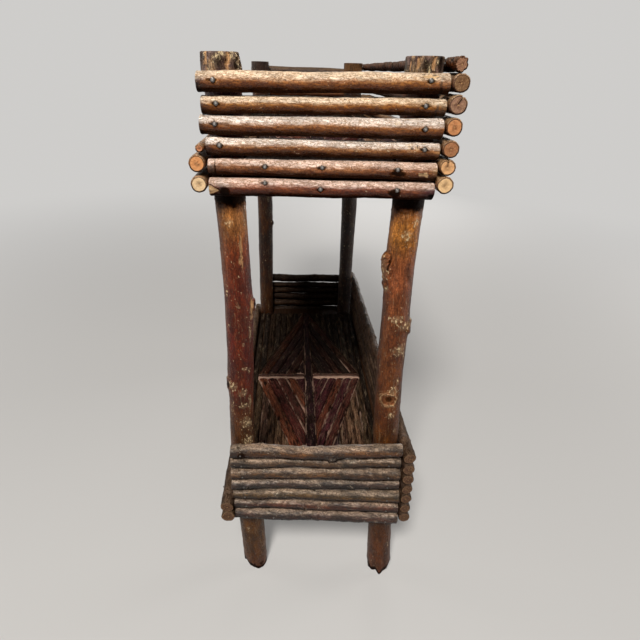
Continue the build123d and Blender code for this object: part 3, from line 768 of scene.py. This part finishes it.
def end_grain(name, bark, rim):
    """A sawn end: growth rings round a dark heart, stained patches, and a thin rim of bark."""
    material, graph, principled = shader(name)
    grain = graph.attribute("grain", "Vector")
    share = graph.attribute("mask", "Alpha")
    wavy = graph.plus(share, graph.times(graph.noise(grain, 170, 2), 0.2))
    ripple = graph.node("Math", 0, {0: graph.times(wavy, 46.0)}, operation="SINE")
    rings = graph.step(ripple, -0.7, 1.0)
    worn = graph.noise(grain, 650, 5, 0.7)
    stain = graph.noise(grain, 210, 3, 0.6)
    heart = graph.mix(graph.step(share, 0.15, 0.6, 0.45, 0.0), graph.attribute("tone", "Color"), bark)
    ringed = graph.mix(graph.times(rings, 0.18), heart, bark)
    lit = graph.mix(graph.step(worn, 0.45, 0.75, 0.0, 0.4), ringed, (0.80, 0.52, 0.26))
    soiled = graph.mix(graph.step(stain, 0.48, 0.78, 0.0, 0.35), lit, bark)
    edge = graph.mix(graph.step(share, 0.86, 0.97), soiled, rim)
    pith = graph.mix(graph.step(share, 0.05, 0.12, 0.8, 0.0), edge, (0.62, 0.36, 0.15))
    graph.fill(principled, {
        "Base Color": graph.mix(graph.mask()[1], pith, (0.02, 0.01, 0.005)),
        "Roughness": graph.step(worn, 0.2, 0.8, 0.5, 0.8),
        "Normal": graph.raised(graph.plus(graph.times(rings, 0.25), worn), 0.9, 0.0006),
        "Specular IOR Level": 0.25,
    })
    return material


def board_material():
    """Stained softwood board: straight grain along Y."""
    material, graph, principled = shader("stained_board")
    place = graph.object_place()
    fibres = graph.noise(graph.stretched(place, (1, 0.04, 1)), 700, 6, 0.6)
    bands = graph.noise(graph.stretched(place, (1, 0.06, 1)), 60, 3, 0.5, 0.8)
    base = graph.mix(bands, colour("2e1c12"), colour("463020"))
    graph.fill(principled, {
        "Base Color": graph.mix(graph.step(fibres, 0.35, 0.7, 0.0, 0.7), base, colour("22140c")),
        "Roughness": graph.step(fibres, 0.2, 0.8, 0.5, 0.75),
        "Normal": graph.raised(fibres, 0.5, 0.0003),
        "Specular IOR Level": 0.03,
    })
    return material


def nail_material():
    """Dark oxidised steel, hammered bright in the middle of the head."""
    material, graph, principled = shader("nail_steel")
    rust = graph.noise(graph.object_place(), 900, 4, 0.6)
    aged = graph.mix(graph.step(rust, 0.45, 0.7), colour("66625e"), colour("3a2a24"))
    middle = graph.step(graph.attribute("mask", "Alpha"), 0.2, 0.6)
    graph.fill(principled, {
        "Base Color": graph.mix(middle, colour("9c9893"), aged),
        "Metallic": 0.7,
        "Roughness": graph.step(rust, 0.3, 0.7, 0.3, 0.55),
        "Normal": graph.raised(rust, 0.5, 0.0002),
    })
    return material


stick_bark = bark_material("stick_bark")
twig_bark = bark_material(
    "twig_bark", pale=colour("cdbda4"), crease=(0.35, 0.25, 0.2), mottle=0.7, furrow=0.35, folds=480,
    thread=0.4, gloss=0.30, sheen=0.36, depth=0.00040, coat=0.05)
shaded_bark = bark_material(
    "shaded_bark", pale=colour("8a765e"), mottle=0.55, furrow=0.50, folds=420, thread=0.4, fleck=0.2,
    sheen=0.04, depth=0.00024, coat=0.0)
post_bark = bark_material(
    "post_bark", pale=colour("ecd2a4"), peel=colour("cc9c6c"), streak=0.34, mottle=0.55, furrow=0.26,
    folds=640, slender=0.5, thread=0.35, crease=(0.75, 0.6, 0.5), specks=620, fleck=0.85, gloss=0.30,
    sheen=0.20, depth=0.00055, coat=0.02)
mosaic_bark = bark_material(
    "mosaic_bark", pale=colour("b09a7c"), peel=colour("d0aa94"), streak=0.65, crease=(0.4, 0.3, 0.26),
    mottle=0.60, furrow=0.45, folds=560, slender=0.10, fleck=0.5, thread=0.95, gloss=0.55, sheen=0.04,
    depth=0.0004, coat=0.0)
sawn_end = end_grain("sawn_end", colour("5a3018"), colour("38200f"))
worn_end = end_grain("worn_end", colour("3a2216"), colour("8c6c50"))
board_wood = board_material()
nail_steel = nail_material()


# ---------------------------------------------------------------- the posts
POST_TOP = 584  # mm
POST_ROOM = 0.3  # mm of the CAD's radius left for the bark's ridges
PATCH_COLOURS = ("8c6c60", "3a2a28", "a8845c", "5c4442", "c8a47c", "2c201e", "9c8278")


def patches(seed):
    """Small patches of other bark colours, scattered round the top of a near post."""
    rng = random.Random(seed)
    return [(rng.uniform(POST_TOP - 22, POST_TOP), rng.uniform(1.5, 5), rng.choice(PATCH_COLOURS),
             rng.uniform(-180, 180), rng.uniform(4, 12)) for _ in range(110)]


def torn_top(seed):
    """Thin torn strips, dark patches and pale crumbs on the bark round a near post's top."""
    rng = random.Random(seed)
    found = []
    for number in range(36):
        place = rng.uniform(POST_TOP - 20, POST_TOP), rng.uniform(-180, 180)
        found.append(((*place, rng.uniform(3, 8), rng.uniform(0.4, 0.8), 0.5, "peel"),
                      (*place, rng.uniform(3, 8), rng.uniform(1.5, 3.5), 0.6, "stain"),
                      (*place, rng.uniform(4, 9), rng.uniform(3, 6), 0.5, "flecks"))[number % 3])
    return found


post_looks = {
    "near_front": {
        "tones": ("5e1e14", "742e18"), "cap": "a8845c", "foot": (10, -45, 60),
        "tints": [(426, 20, "8c3e20"), (458, 18, "cc8646"), (577, 14, "6a5444"),
                  # the grey-brown tint at bearing 180 below is a painted reflection down the left side
                  (440, 50, "704428", -150, 36), (330, 120, "5e4438", 180, 36), (567, 4, "a87c58"),
                  (70, 90, "64401c"), (230, 40, "5a3418"), (180, 26, "70481c")] + patches(61),
        "marks": torn_top(5) + [
            # the first stain below is painted shadow: a dark band round the front, just under the tray
            (480, -90, 13, 80, 1.0, "stain"), (580, -60, 4, 2.2, 0.8, "peel"),
            (575, -67, 4, 1.3, 0.9, "peel"), (569, -70, 4, 0.8, 0.9, "peel"),
            (576, -24, 10, 6, 0.8, "flecks"), (574, -12, 8, 3.0, 1.6, "flecks"),
            (570, -18, 4, 1.2, 1.2, "peel"), (578, -30, 7, 3, 1.2, "flecks"),
            (578, -128, 5, 1.0, 0.5, "peel"), (569, -126, 4, 0.8, 0.5, "peel"),
            (577, -82, 6, 5, 0.7, "stain"), (574, -38, 5, 3, 0.7, "stain"),
            (578, -150, 8, 3, 0.6, "stain"), (374, -8, 7, 6, 2.2, "stub"), (286, 205, 9, 7, 1.6, "stub"),
            (286, -125, 10, 9, 0.5, "flecks"), (278, -75, 7, 8, 0.4, "flecks"),
            (455, -95, 7, 5, 0.5, "flecks"), (458, -86, 3, 2, 0.4, "knob"),
            (432, -58, 13, 1.3, 0.5, "peel"), (420, -62, 3, 1.8, 0.4, "peel"),
            (372, -28, 10, 1.8, 0.6, "peel"), (362, -20, 3, 4, 0.5, "peel"),
            (376, -85, 3, 3, 0.4, "flecks"), (335, -70, 3, 3, 0.4, "flecks"),
            (307, -65, 4, 5, 0.3, "flecks"), (304, -45, 6, 2.5, 0.3, "flecks"),
            (240, -60, 12, 10, 0.4, "flecks"), (212, -55, 16, 12, 0.4, "flecks"),
            (262, -40, 20, 3, 0.4, "flecks"), (345, -35, 16, 3, 0.4, "flecks"),
            (262, -72, 5, 9, 0.4, "flecks")],
    },
    "near_back": {
        "tones": ("824a26", "6a361c"), "cap": "a8845c", "foot": (8.5, -93, 16),
        "tints": [(406, 44, "9c5834"), (446, 17, "cc8438"), (577, 14, "86705a"), (100, 80, "5a3212"),
                  # the two long dark tints at bearings -8 and 172 below are painted shade down the post's
                  # right and left sides
                  (205, 30, "6a3e18"), (250, 280, "4a2812", -8, 36), (250, 300, "4a2810", 172, 44),
                  (567, 4, "a87c58")] + patches(62),
        "marks": torn_top(6) + [
            # the first stain below is painted shadow: a dark band round the front, just under the tray
            (479, -90, 15, 80, 1.0, "stain"), (579, -121, 5, 1.3, 0.6, "peel"),
            (570, -119, 4, 0.9, 0.6, "peel"), (578, -74, 5, 1.8, 0.8, "peel"),
            (570, -72, 4, 1.0, 0.8, "peel"), (577, -98, 7, 4, 0.8, "stain"),
            (578, -48, 8, 4, 0.8, "stain"), (574, -22, 8, 4, 0.6, "flecks"),
            (412, -160, 17, 7, 6.0, "spur"), (396, 178, 5, 6, 2.2, "knob"),
            (392, -168, 6, 9, 0.8, "flecks"), (393, -155, 5, 7, 0.5, "flecks"),
            (418, -140, 12, 1.2, 0.5, "dent"), (458, -62, 9, 6, 0.5, "flecks"),
            (446, -90, 9, 8, 0.4, "flecks"), (351, -14, 9, 7, 2.6, "stub"),
            (355, -48, 8, 14, 0.6, "flecks"), (363, -95, 7, 11, 0.5, "flecks"),
            (329, -66, 11, 13, 0.5, "flecks"), (322, -40, 9, 4, 0.4, "flecks"),
            (316, 178, 6, 4, 1.4, "knob"), (270, -98, 7.0, 8.6, 1.3, "ring"),
            (262, -100, 3, 9, 0.5, "flecks"), (276, -112, 4, 5, 0.5, "flecks"),
            (281, -78, 9, 8, 1.2, "flecks"), (292, -62, 7, 4, 0.6, "flecks"),
            (250, -84, 8, 7, 0.4, "flecks"), (228, -60, 5, 4, 0.4, "flecks")],
    },
    # the far posts' tones are darkened with painted shade, that of the tray above them
    "far_front": {
        "tones": ("4a2604", "301402"), "cap": "8f7050", "foot": (2.0, 60, 80), "tints": [(576, 16, "3e2a22")],
        "marks": [(314, -20, 6, 4, 2.6, "stub"), (420, -80, 12, 6, 0.4, "flecks"),
                  (360, -60, 9, 5, 0.4, "flecks"), (450, 150, 9, 7, 1.6, "stub"),
                  (230, 100, 8, 8, 1.4, "ring"), (150, 170, 14, 8, 0.4, "flecks")],
    },
    "far_back": {
        "tones": ("2a160e", "38200d"), "cap": "8f7050", "foot": (2.0, 90, 80), "tints": [(576, 18, "7a5430")],
        "marks": [(300, -120, 12, 6, 0.8, "knob"), (400, -100, 12, 6, 0.4, "flecks"),
                  (360, 60, 8, 6, 1.8, "stub"), (200, 20, 9, 8, 1.4, "ring"),
                  (470, 90, 12, 8, 0.4, "flecks")],
    },
}
for number, (post, shape) in enumerate(post_looks.items()):
    middles, radii = rings_of(cad_parts("post_" + post)[0])
    look = POST if post.startswith("near") else FAR_POST
    part = pole(middles, radii - POST_ROOM, (1, 0, 0), look, 11 + number, **shape)
    build("bark_post_" + post, [part], [post_bark, sawn_end], "post_bark", "post_" + post)


# ---------------------------------------------------------------- the walls
def wall(prefix, outward, look, bark, slot, shapes, seed):
    """Dress each stick of a wall, from the top down; numbers follow the CAD nodes.

    A shape may name its own look and bark. grown is how much thicker it is, all of it inwards;
    room is the part of the CAD's radius left for the bark's ridges.
    """
    room, cap = (0.6, worn_end) if "twig" in prefix else (0.15, sawn_end)
    for number, shape in enumerate(shapes, start=1):
        node = prefix + "_" + str(number)
        own = dict({"look": look, "bark": bark, "grown": 0.0}, **shape)
        own_bark, grown = own.pop("bark"), own.pop("grown")
        middles, radii = ends_of(cad_parts(node)[0])
        part = pole(middles - grown * np.array(outward), radii - room + grown, outward,
                    seed=seed + 3 * number, **own)
        build("bark_" + node, [part], [own_bark, cap], slot, node)


tray_near = [
    {"tones": ("b8864e", "a06e44"), "tints": [(0, 6, "4a3434"), (186, 5, "a88468"), (180, 0.9, "4a3020")],
     "marks": [(171, 44, 5, 2.4, 0.7, "peel"), (175, 62, 3.5, 1.0, 1.4, "dent"),
               (166, 66, 2, 1, 0.8, "dent"), (158, 40, 8, 5, 0.8, "knob"), (60, 30, 5, 4, 0.5, "knob"),
               (9, 12, 3, 2, 0.7, "stain"), (120, 60, 5, 5, 0.2, "flecks")]},
    {"tones": ("bc8842", "a87638"), "tints": [(0, 4, "6a4a34"), (182, 3, "9c8468"), (177, 0.9, "4a3020")],
     "marks": [(107, 44, 3, 2.4, 0.9, "knob"), (107, 44, 1, 1, 0.5, "dent"), (28, 35, 4, 2, 0.4, "flecks"),
               (168, 8, 3, 2, 0.5, "stain")]},
    {"look": PALE_HIGHLIGHT_STICK, "tones": ("b88a60", "a07042"), "tints": [(0, 4, "5e4436")],
     "marks": [(20, 30, 2.5, 2, 0.6, "knob"), (104, 20, 4, 3, 0.6, "knob"), (150, 35, 5, 4, 0.3, "flecks")]},
    {"look": PALE_HIGHLIGHT_STICK, "tones": ("b88c62", "9e6e42"), "tints": [(0, 4, "6a4c3c"), (182, 4, "b09070")],
     "marks": [(37, 45, 3.5, 3.5, 1.0, "knob"), (160, 20, 3.2, 2.6, 0.5, "ring"),
               (164, 40, 0.7, 3, 0.6, "dent"), (120, 5, 12, 1.2, 0.4, "flecks"),
               (135, 15, 10, 1.2, 0.4, "flecks"), (145, 8, 9, 1.4, 0.4, "flecks")]},
    {"look": ROSY_HIGHLIGHT_STICK, "tones": ("b08260", "946444"), "tints": [(3, 4, "6c5c58"), (181, 4, "b4946c")],
     "marks": [(13, 60, 6, 6, 0.7, "knob"), (6, 0, 0.9, 12, 0.5, "dent"), (50, -8, 5, 1.2, 0.3, "flecks"),
               (168, -12, 2.2, 1.4, 0.5, "peel"), (172.5, -12, 2.0, 1.6, 0.4, "peel"),
               (150, -5, 7, 4, 1.0, "stain")]},
    {"look": ROSY_HIGHLIGHT_STICK, "tones": ("9a6248", "78422c"), "tints": [(11, 5, "3c2224"), (178, 9, "4c2430")],
     "marks": [(0, -12, 9, 5.0, 0.8, "wedge"), (13, -25, 5, 6, 1.0, "stain"), (24, 20, 4, 3, 0.5, "knob"),
               (149, -8, 7, 4.5, 1.0, "stain"), (180, -40, 5, 5, 1.2, "dent")]},
]
tray_far = [{"tones": pair} for pair in (("4e3a2a", "3a2a20"), ("8e6440", "a0743e"), ("94683e", "76502e"),
                                         ("8a5e3c", "a07448"), ("96683c", "7c502e"), ("86583a", "9a6a40"))]
tray_back = [
    {"tones": ("6a4630", "4c3020"), "cap": "9a6e54", "look": ROPY_STICK, "bark": shaded_bark},
    {"tones": ("7c5c44", "66483a"), "cap": "785638"},
    {"tones": ("8a6440", "6e4e34"), "cap": "96705a", "split": (60, 0.5, 1.2),
     "drift": ((0, 0), (0.3, 0), (0.6, -0.9), (0.9, -0.9), (1, 0))},
    {"tones": ("8c6238", "74502f"), "cap": "d8925e",
     "drift": ((0, 0), (0.3, 0), (0.6, 1.5), (0.9, 1.5), (1, 0))},
    {"tones": ("86603c", "70492e"), "cap": "b0764e",
     "drift": ((0, 0), (0.3, 0), (0.45, -1), (0.85, -1), (1, 0))},
    {"tones": ("96683a", "7a5430"), "cap": "f6bc84", "split": (92, 0.8, 1.0),
     "drift": ((0, 0), (0.3, 0), (0.45, 1.2), (0.85, 1.2), (1, 0))},
    {"tones": ("8e6038", "76502e"), "cap": "ffd49c"},
]
tray_lip = [{"tones": ("94663c", "7a5232"), "cap": "d48c62"},
            {"tones": ("9a6c40", "7e5634"), "cap": "eea468"},
            {"tones": ("8e6038", "744c2e"), "cap": "ffdcac"}]
wall("tray_near_end_stick", (0, -1, 0), STICK, stick_bark, "tray_stick_bark", tray_near, 100)
wall("tray_far_end_stick", (0, 1, 0), FAR_STICK, stick_bark, "tray_stick_bark", tray_far, 150)
wall("tray_back_stick", (1, 0, 0), SIDE_STICK, stick_bark, "tray_stick_bark", tray_back, 200)
wall("tray_front_lip_stick", (-1, 0, 0), SIDE_STICK, stick_bark, "tray_stick_bark", tray_lip, 250)

shelf_near = [
    {"tones": ("6a4627", "38220f"), "drift": ((0, 0.5), (0.3, 0.3), (0.52, -3.2), (0.7, -0.4), (1, 1.0)),
     "tints": [(0, 10, "4a3020")],
     "marks": [(108, -48, 6, 4.5, 3.4, "stub"), (108, -48, 2.6, 2.2, 0.2, "peel"),
               (170, 20, 9, 5, 1.5, "knob"), (163, 60, 6, 4, 1.2, "knob"), (12, -10, 6, 5, 0.8, "stain"),
               (178, -20, 4, 3, 1.0, "knob")]},
    {"tones": ("5c4530", "3c2a1b"), "drift": ((0, 0), (0.35, 0.8), (0.55, -0.8), (0.8, 0.3), (1, 0))},
    {"tones": ("6e4f32", "4a3321"), "drift": ((0, -0.5), (0.3, 2.2), (0.55, 0.9), (0.8, 0.1), (1, -0.6)),
     "marks": [(20, -10, 4, 4, 0.7, "knob")]},
    {"tones": ("4a3831", "30221d"), "drift": ((0, -0.6), (0.3, 1.9), (0.55, 0.8), (0.8, -0.1), (1, -0.5)),
     "marks": [(46, 0, 5, 4, 1.0, "knob")]},
    {"tones": ("694f2f", "45331d"), "drift": ((0, -0.5), (0.3, 1.2), (0.55, 0.6), (1, 0))},
    {"tones": ("603624", "3e2018"), "drift": ((0, 0), (0.3, 0.2), (0.55, 0.4), (1, 0)),
     "tints": [(0, 14, "32201a")]},
    {"tones": ("52382f", "33221d"), "drift": ((0, 0), (0.3, -0.3), (0.55, 0.3), (1, 0)),
     "marks": [(162, -5, 4, 3, 0.6, "flecks"), (178, 0, 7, 5, 1.0, "knob")]},
]
# the far end's twigs are coloured darker than the near end's: painted shade of the tray above
shelf_far = [{"tones": pair} for pair in (("4e3c30", "382a22"), ("42342c", "302620"), ("4c3a2e", "36281e"),
                                          ("44342c", "32261e"), ("4a382c", "36281e"), ("42322a", "30241c"),
                                          ("46362c", "34261e"))]
shelf_back = [{"tones": pair, "cap": "54382a"} for pair in (
    ("4e3a2c", "4c3628"), ("443226", "46342a"), ("4a382a", "4a382c"), ("42332b", "342620"),
    ("48382c", "4a3a2c"), ("42332a", "342620"), ("44342a", "46322a"))]
shelf_lip = [{"tones": ("5c4636", "44342a"), "cap": "54382a", "grown": 0.9},
             {"tones": ("58442f", "42322a"), "cap": "54382a", "grown": 0.9}]
wall("shelf_near_end_twig", (0, -1, 0), TWIG, twig_bark, "shelf_twig_bark", shelf_near, 300)
wall("shelf_back_twig", (1, 0, 0), SIDE_TWIG, shaded_bark, "shelf_twig_bark", shelf_back, 350)
wall("shelf_front_lip_twig", (-1, 0, 0), SIDE_TWIG, shaded_bark, "shelf_twig_bark", shelf_lip, 400)
far_twigs, thicker = [], 0.5
for number, points in enumerate(cad_parts("shelf_far_end_twigs")):
    middles, radii = ends_of(points)
    seed = 450 + 3 * number
    far_twigs.append(pole(middles, radii + thicker, (0, 1, 0), FAR_TWIG, seed, **shelf_far[number]))
node = "shelf_far_end_twigs"
build("bark_" + node, far_twigs, [shaded_bark, sawn_end], "shelf_twig_bark", node)


# ---------------------------------------------------------------- the mosaic's split twigs
def outline_of(points):
    """The corners of a slab's underside, in order, so that the first side is a long one."""
    base = points[points[:, 2] < points[:, 2].min() + 0.05][:, :2]
    centre = base.mean(0)
    order = base[np.argsort(np.arctan2(base[:, 1] - centre[1], base[:, 0] - centre[0]))]
    corners = []
    for i in range(len(order)):
        before, after = order[i] - order[i - 1], order[(i + 1) % len(order)] - order[i]
        turn = abs(before[0] * after[1] - before[1] * after[0])
        if turn > 0.01 * np.linalg.norm(before) * np.linalg.norm(after):
            corners.append(order[i])
    if len(corners) == 3:  # a triangle counts as a slab with one very short side
        corners.append(corners[-1] + (corners[0] - corners[-1]) * 0.02)
    sides = [np.linalg.norm(corners[(i + 1) % 4] - corners[i]) for i in range(4)]
    first = max(range(4), key=lambda i: sides[i] + sides[(i + 2) % 4])
    return np.array([corners[(first + i) % 4] for i in range(4)])


def split_twig(points, tone, seed, look, pale_edges):
    """Half a twig, bark side up, filling its outline with a rounded, slightly wavering back."""
    a, b, c, d = outline_of(points)
    floor, top = points[:, 2].min(), points[:, 2].max()
    length = (np.linalg.norm(b - a) + np.linalg.norm(c - d)) / 2
    width = (np.linalg.norm(d - a) + np.linalg.norm(c - b)) / 2
    count, across = max(3, int(length / 2.2)), 11
    u = np.linspace(0, 1, count + 1)[:, None]
    v = (0.5 - 0.5 * np.cos(np.linspace(0, math.pi, across)))[None, :]
    S, x = u * length + 0 * v, (v - 0.5) * width + 0 * u
    left, right = a + (b - a) * u[..., None], d + (c - d) * u[..., None]
    sway = 0.4 * noise(S / 34, x * 0, x * 0, seed)[..., None]
    place = left + (right - left) * v[..., None] + sway * (right - left) / width
    crown = np.sqrt(np.clip(1 - (2 * v - 1) ** 2, 0, 1)) ** 0.8 + 0 * u
    bump = look["swell"] * rough(S / 22, x / 6, x * 0, seed) + 0.2 * noise(S / 3, x / 2, x * 0, seed + 1)
    bump -= look["ridge"] * (1 - plates(S / 70, x / 1.6, x * 0, seed + 4))
    height = (top - floor) * (0.22 + 0.66 * crown) + bump * crown
    height = height - 1.4 * np.exp(-np.minimum(S, length - S) / 0.9)
    z = floor + np.clip(height, 0.4, top - floor)
    upper = np.concatenate([place, z[..., None]], axis=2)
    lower = upper[:, [-1, 0]].copy()
    lower[:, :, 2] = floor
    rows = np.concatenate([upper, lower], axis=1)
    around = across + 2
    faces = tube_faces(count + 1, around)
    faces += [list(range(around))[::-1], [count * around + i for i in range(around)]]
    lengthways, over = rows[1, 5] - rows[0, 5], rows[0, 6] - rows[0, 5]
    if np.cross(over, lengthways)[2] < 0:
        faces = [face[::-1] for face in faces]
    edge = np.abs(2 * np.concatenate([v[0], [1, 0]]) - 1)[None, :] + 0 * u
    whole = np.concatenate([S, S[:, :2]], axis=1)
    spread = np.concatenate([x, x[:, [-1, 0]]], axis=1)
    peel = pale_edges * smooth(*look["rim"], edge + 0.16 * noise(whole / 15, edge, edge * 0, seed + 2)
                                + 0.10 * noise(whole / 3, edge, edge * 0, seed + 6))
    pale = look["pale"] * smooth(0.1, 0.8, noise(whole / 16, spread / 4, edge * 0, seed + 3))
    dark = look["dark"] * smooth(0.0, 0.8, noise(whole / 12, spread / 3, edge * 0, seed + 5))
    mask = np.stack([peel, dark * (1 - peel), pale * (1 - peel), edge * 0 + 0.5], axis=2)
    grain = np.stack([whole, spread, rows[..., 2] - floor], axis=2)
    return {
        "verts": rows.reshape(-1, 3),
        "faces": faces,
        "kinds": [0] * (len(faces) - 2) + [1, 1],
        "grain": (grain.reshape(-1, 3) + shift_of(seed)) * MM,
        "mask": mask.reshape(-1, 4),
        "tone": np.tile([*colour(tone), 1.0], (rows.shape[0] * around, 1)),
    }


# each group's far tones are darker copies of its near ones: painted shade, as of the tray over the shelf's
# far half (the tray's own mosaic takes them too)
mosaic_looks = {
    "spine": {"near": ["5a262e"], "far": ["2c1618"], "edges": 0.8, "swell": 0.5, "ridge": 0.6, "pale": 0.3,
              "dark": 0.8, "rim": (0.92, 0.98)},
    "crossbars": {"near": ["8e5e52", "7c5044"], "far": ["4c3028", "5a382e"], "edges": 1.0, "swell": 0.4,
                  "ridge": 0.4, "pale": 0.6, "dark": 0.5, "rim": (0.42, 0.72)},
    "diamond": {"near": ["4c2226", "5e2c26", "6c3828", "42242a", "5a3028", "50262a", "7c442e"],
                "far": ["2e1614", "361a12", "241410", "3e1e12", "2a1614"], "edges": 0.7, "swell": 0.5,
                "ridge": 0.8, "pale": 0.5, "dark": 0.95, "rim": (0.91, 0.98)},
    "field": {"near": ["64483a", "44302c", "7c5c46", "54402e", "8e6c52", "4a3638"],
              "far": ["30241c", "281e18", "362a20", "2c201a", "36261a"], "edges": 0.3, "swell": 0.4,
              "ridge": 1.2, "pale": 0.9, "dark": 0.95, "rim": (0.88, 0.97)},
}
mosaic_slots = {"spine": "mosaic_spine_bark", "crossbars": "mosaic_field_bark",
                "diamond": "mosaic_diamond_bark", "field": "mosaic_field_bark"}
for floor_number, floor_name in enumerate(("tray", "shelf")):
    for group_number, (group, look) in enumerate(mosaic_looks.items()):
        node = floor_name + "_mosaic_" + group
        rng = random.Random(900 + 10 * floor_number + group_number)
        twigs = []
        for number, points in enumerate(cad_parts(node)):
            # twigs in the far half take the darker tones: painted shade
            tones = look["near"] if points[:, 1].mean() < 0 else look["far"]
            pale = rng.uniform(0.6, 1.0) * (rng.random() < look["edges"])
            seed = 500 + 97 * floor_number + 13 * number
            twigs.append(split_twig(points, rng.choice(tones), seed, look, pale))
        build("twigs_" + node, twigs, [mosaic_bark, sawn_end], mosaic_slots[group], node)


# ---------------------------------------------------------------- nails
def nail(base, way, length, radius, head, seed):
    """A wrought nail: an uneven domed head and a slightly tapering shank."""
    rng = random.Random(seed)
    around = 12
    side = np.array([way[1], way[2], way[0]])
    rise = np.cross(way, side)
    theta = np.arange(around) * 2 * math.pi / around + rng.uniform(0, 1)
    thick = 0.8 if head > SMALLEST_NAIL_HEAD else 0.4
    profile = [(-thick, 0.35 * head), (-0.85 * thick, 0.7 * head), (-0.45 * thick, 0.95 * head),
               (0, 0.92 * head), (0.05, radius), (0.75 * length, radius * 0.95),
               (length - 0.2, radius * 0.45)]
    rows = []
    for depth, r in profile:
        facets = 1 - 0.10 * (r > 1.2 * radius) * (np.cos(2 * theta + seed) ** 2 + rng.uniform(0, 0.3))
        rows.append(base + depth * way + (r * facets)[:, None] * (
            np.cos(theta)[:, None] * side + np.sin(theta)[:, None] * rise))
    verts = np.concatenate(rows + [[rows[0].mean(0), rows[-1].mean(0) + 0.2 * way]])
    faces = grid_faces(len(rows), around, np.dot(np.cross(side, rise), way) < 0)
    blank, mask = np.zeros((2, len(verts), 4))
    shares = [np.full(around, r / head if depth < 0 else 1) for depth, r in profile]
    mask[:, 3] = np.concatenate(shares + [[0, 1]])
    return {"verts": verts, "faces": faces, "kinds": [0] * len(faces), "grain": blank[:, :3], "mask": mask,
            "tone": blank}


for node, found in nails.items():
    parts = [nail(*item, 700 + number) for number, item in enumerate(found)]
    build("steel_" + node, parts, [nail_steel], "nail_steel", node)

for node in ("tray_board", "shelf_board"):
    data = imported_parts[node].data
    data.materials.clear()
    data.materials.append(board_wood)


# ---------------------------------------------------------------- floor, light and camera
SURROUND = (0.62, 0.61, 0.595, 1.0)
FOCAL_PIXELS, PHOTO_PIXELS = 488.39, 640  # the camera's focal length and the picture's width


def seen_directly(graph):
    """1 for rays that come from the eye, straight or by way of a mirror or glass."""
    path = graph.tree.nodes.new("ShaderNodeLightPath")
    rays = ("Is Camera Ray", "Is Glossy Ray", "Is Transmission Ray")
    return graph.chain("MAXIMUM", *[path.outputs[ray] for ray in rays])


def stage_floor():
    """A pale floor that keeps the table's shadow and fades into the surround."""
    size = 30.0
    mesh = bpy.data.meshes.new("floor")
    corners = [(-size, -size, 0), (size, -size, 0), (size, size, 0), (-size, size, 0)]
    mesh.from_pydata(corners, [], [[0, 1, 2, 3]])
    floor = placed("floor", mesh)
    material, graph, principled = shader("pale_floor")
    graph.fill(principled, {"Base Color": SURROUND, "Roughness": 0.75})
    away = graph.node("VectorMath", "Value", {0: graph.object_place()}, operation="LENGTH")
    glow = graph.node("Emission", 0, {"Color": SURROUND})
    faded = graph.blend(graph.step(away, 0.3, 2.2, 0.2, 1.0), principled.outputs[0], glow)
    bounce = graph.node("BsdfDiffuse", 0, {"Color": (0.12, 0.08, 0.055, 1.0)})
    surface = graph.blend(seen_directly(graph), bounce, faded)
    graph.fill(material.node_tree.nodes["Material Output"], {"Surface": surface})
    mesh.materials.append(material)


def sky():
    """A pale surround that shows behind the table and lights it faintly."""
    world = bpy.data.worlds.new("surround")
    bpy.context.scene.world = world
    world.use_nodes = True
    world.node_tree.nodes.clear()
    graph = Graph(world.node_tree)
    shown = graph.node("Background", 0, {"Color": SURROUND})
    soft = graph.node("Background", 0, {"Color": (1.0, 0.96, 0.92, 1.0), "Strength": 0.05})
    output = world.node_tree.nodes.new("ShaderNodeOutputWorld")
    graph.fill(output, {"Surface": graph.blend(seen_directly(graph), soft, shown)})


def lamp(name, place, aim, size, power, tint):
    """A round soft lamp aimed at a point, hidden from the camera itself."""
    data = bpy.data.lights.new(name, "AREA")
    data.shape = "DISK"
    data.size = size
    data.energy = power
    data.color = tint
    light = placed(name, data)
    light.location = place
    light.rotation_euler = (Vector(aim) - Vector(place)).to_track_quat("-Z", "Y").to_euler()
    light.visible_camera = False


def camera():
    """The photograph's viewpoint: at the height of the tray, before the near end, looking down."""
    yaw, pitch, roll = math.radians(3.38), math.radians(27.04), math.radians(1.74)
    eye = Vector((-25.43, -666.86, 572.0)) * MM
    level = Vector((math.sin(yaw), math.cos(yaw), 0))
    right = Vector((math.cos(yaw), -math.sin(yaw), 0))
    ahead = math.cos(pitch) * level - math.sin(pitch) * Vector((0, 0, 1))
    up = math.sin(pitch) * level + math.cos(pitch) * Vector((0, 0, 1))
    local_x = math.cos(roll) * right + math.sin(roll) * up
    local_y = -math.sin(roll) * right + math.cos(roll) * up
    data = bpy.data.cameras.new("camera")
    data.sensor_fit = "HORIZONTAL"
    data.sensor_width = 36.0
    data.lens = FOCAL_PIXELS / PHOTO_PIXELS * data.sensor_width
    data.clip_start = 0.01
    view = placed("camera", data)
    view.matrix_world = Matrix.Translation(eye) @ Matrix((local_x, local_y, -ahead)).transposed().to_4x4()
    bpy.context.scene.camera = view


stage_floor()
sky()
lamp("key", (-0.34, -1.56, 1.94), (0, -0.15, 0.4), 0.45, 54, (1.0, 0.97, 0.93))
for side, place, aim, power in (("open_side", (-2.0, 0.5, 0.5), (0, 0, 0.3), 8),
                                ("back", (1.9, 0.35, 0.3), (0, 0, 0.25), 16),
                                ("far", (0.5, 2.0, 0.3), (0, 0, 0.3), 14)):
    lamp(side + "_fill", place, aim, 0.9, power, (1.0, 0.97, 0.94))
camera()
bpy.context.scene.view_settings.view_transform = "Standard"
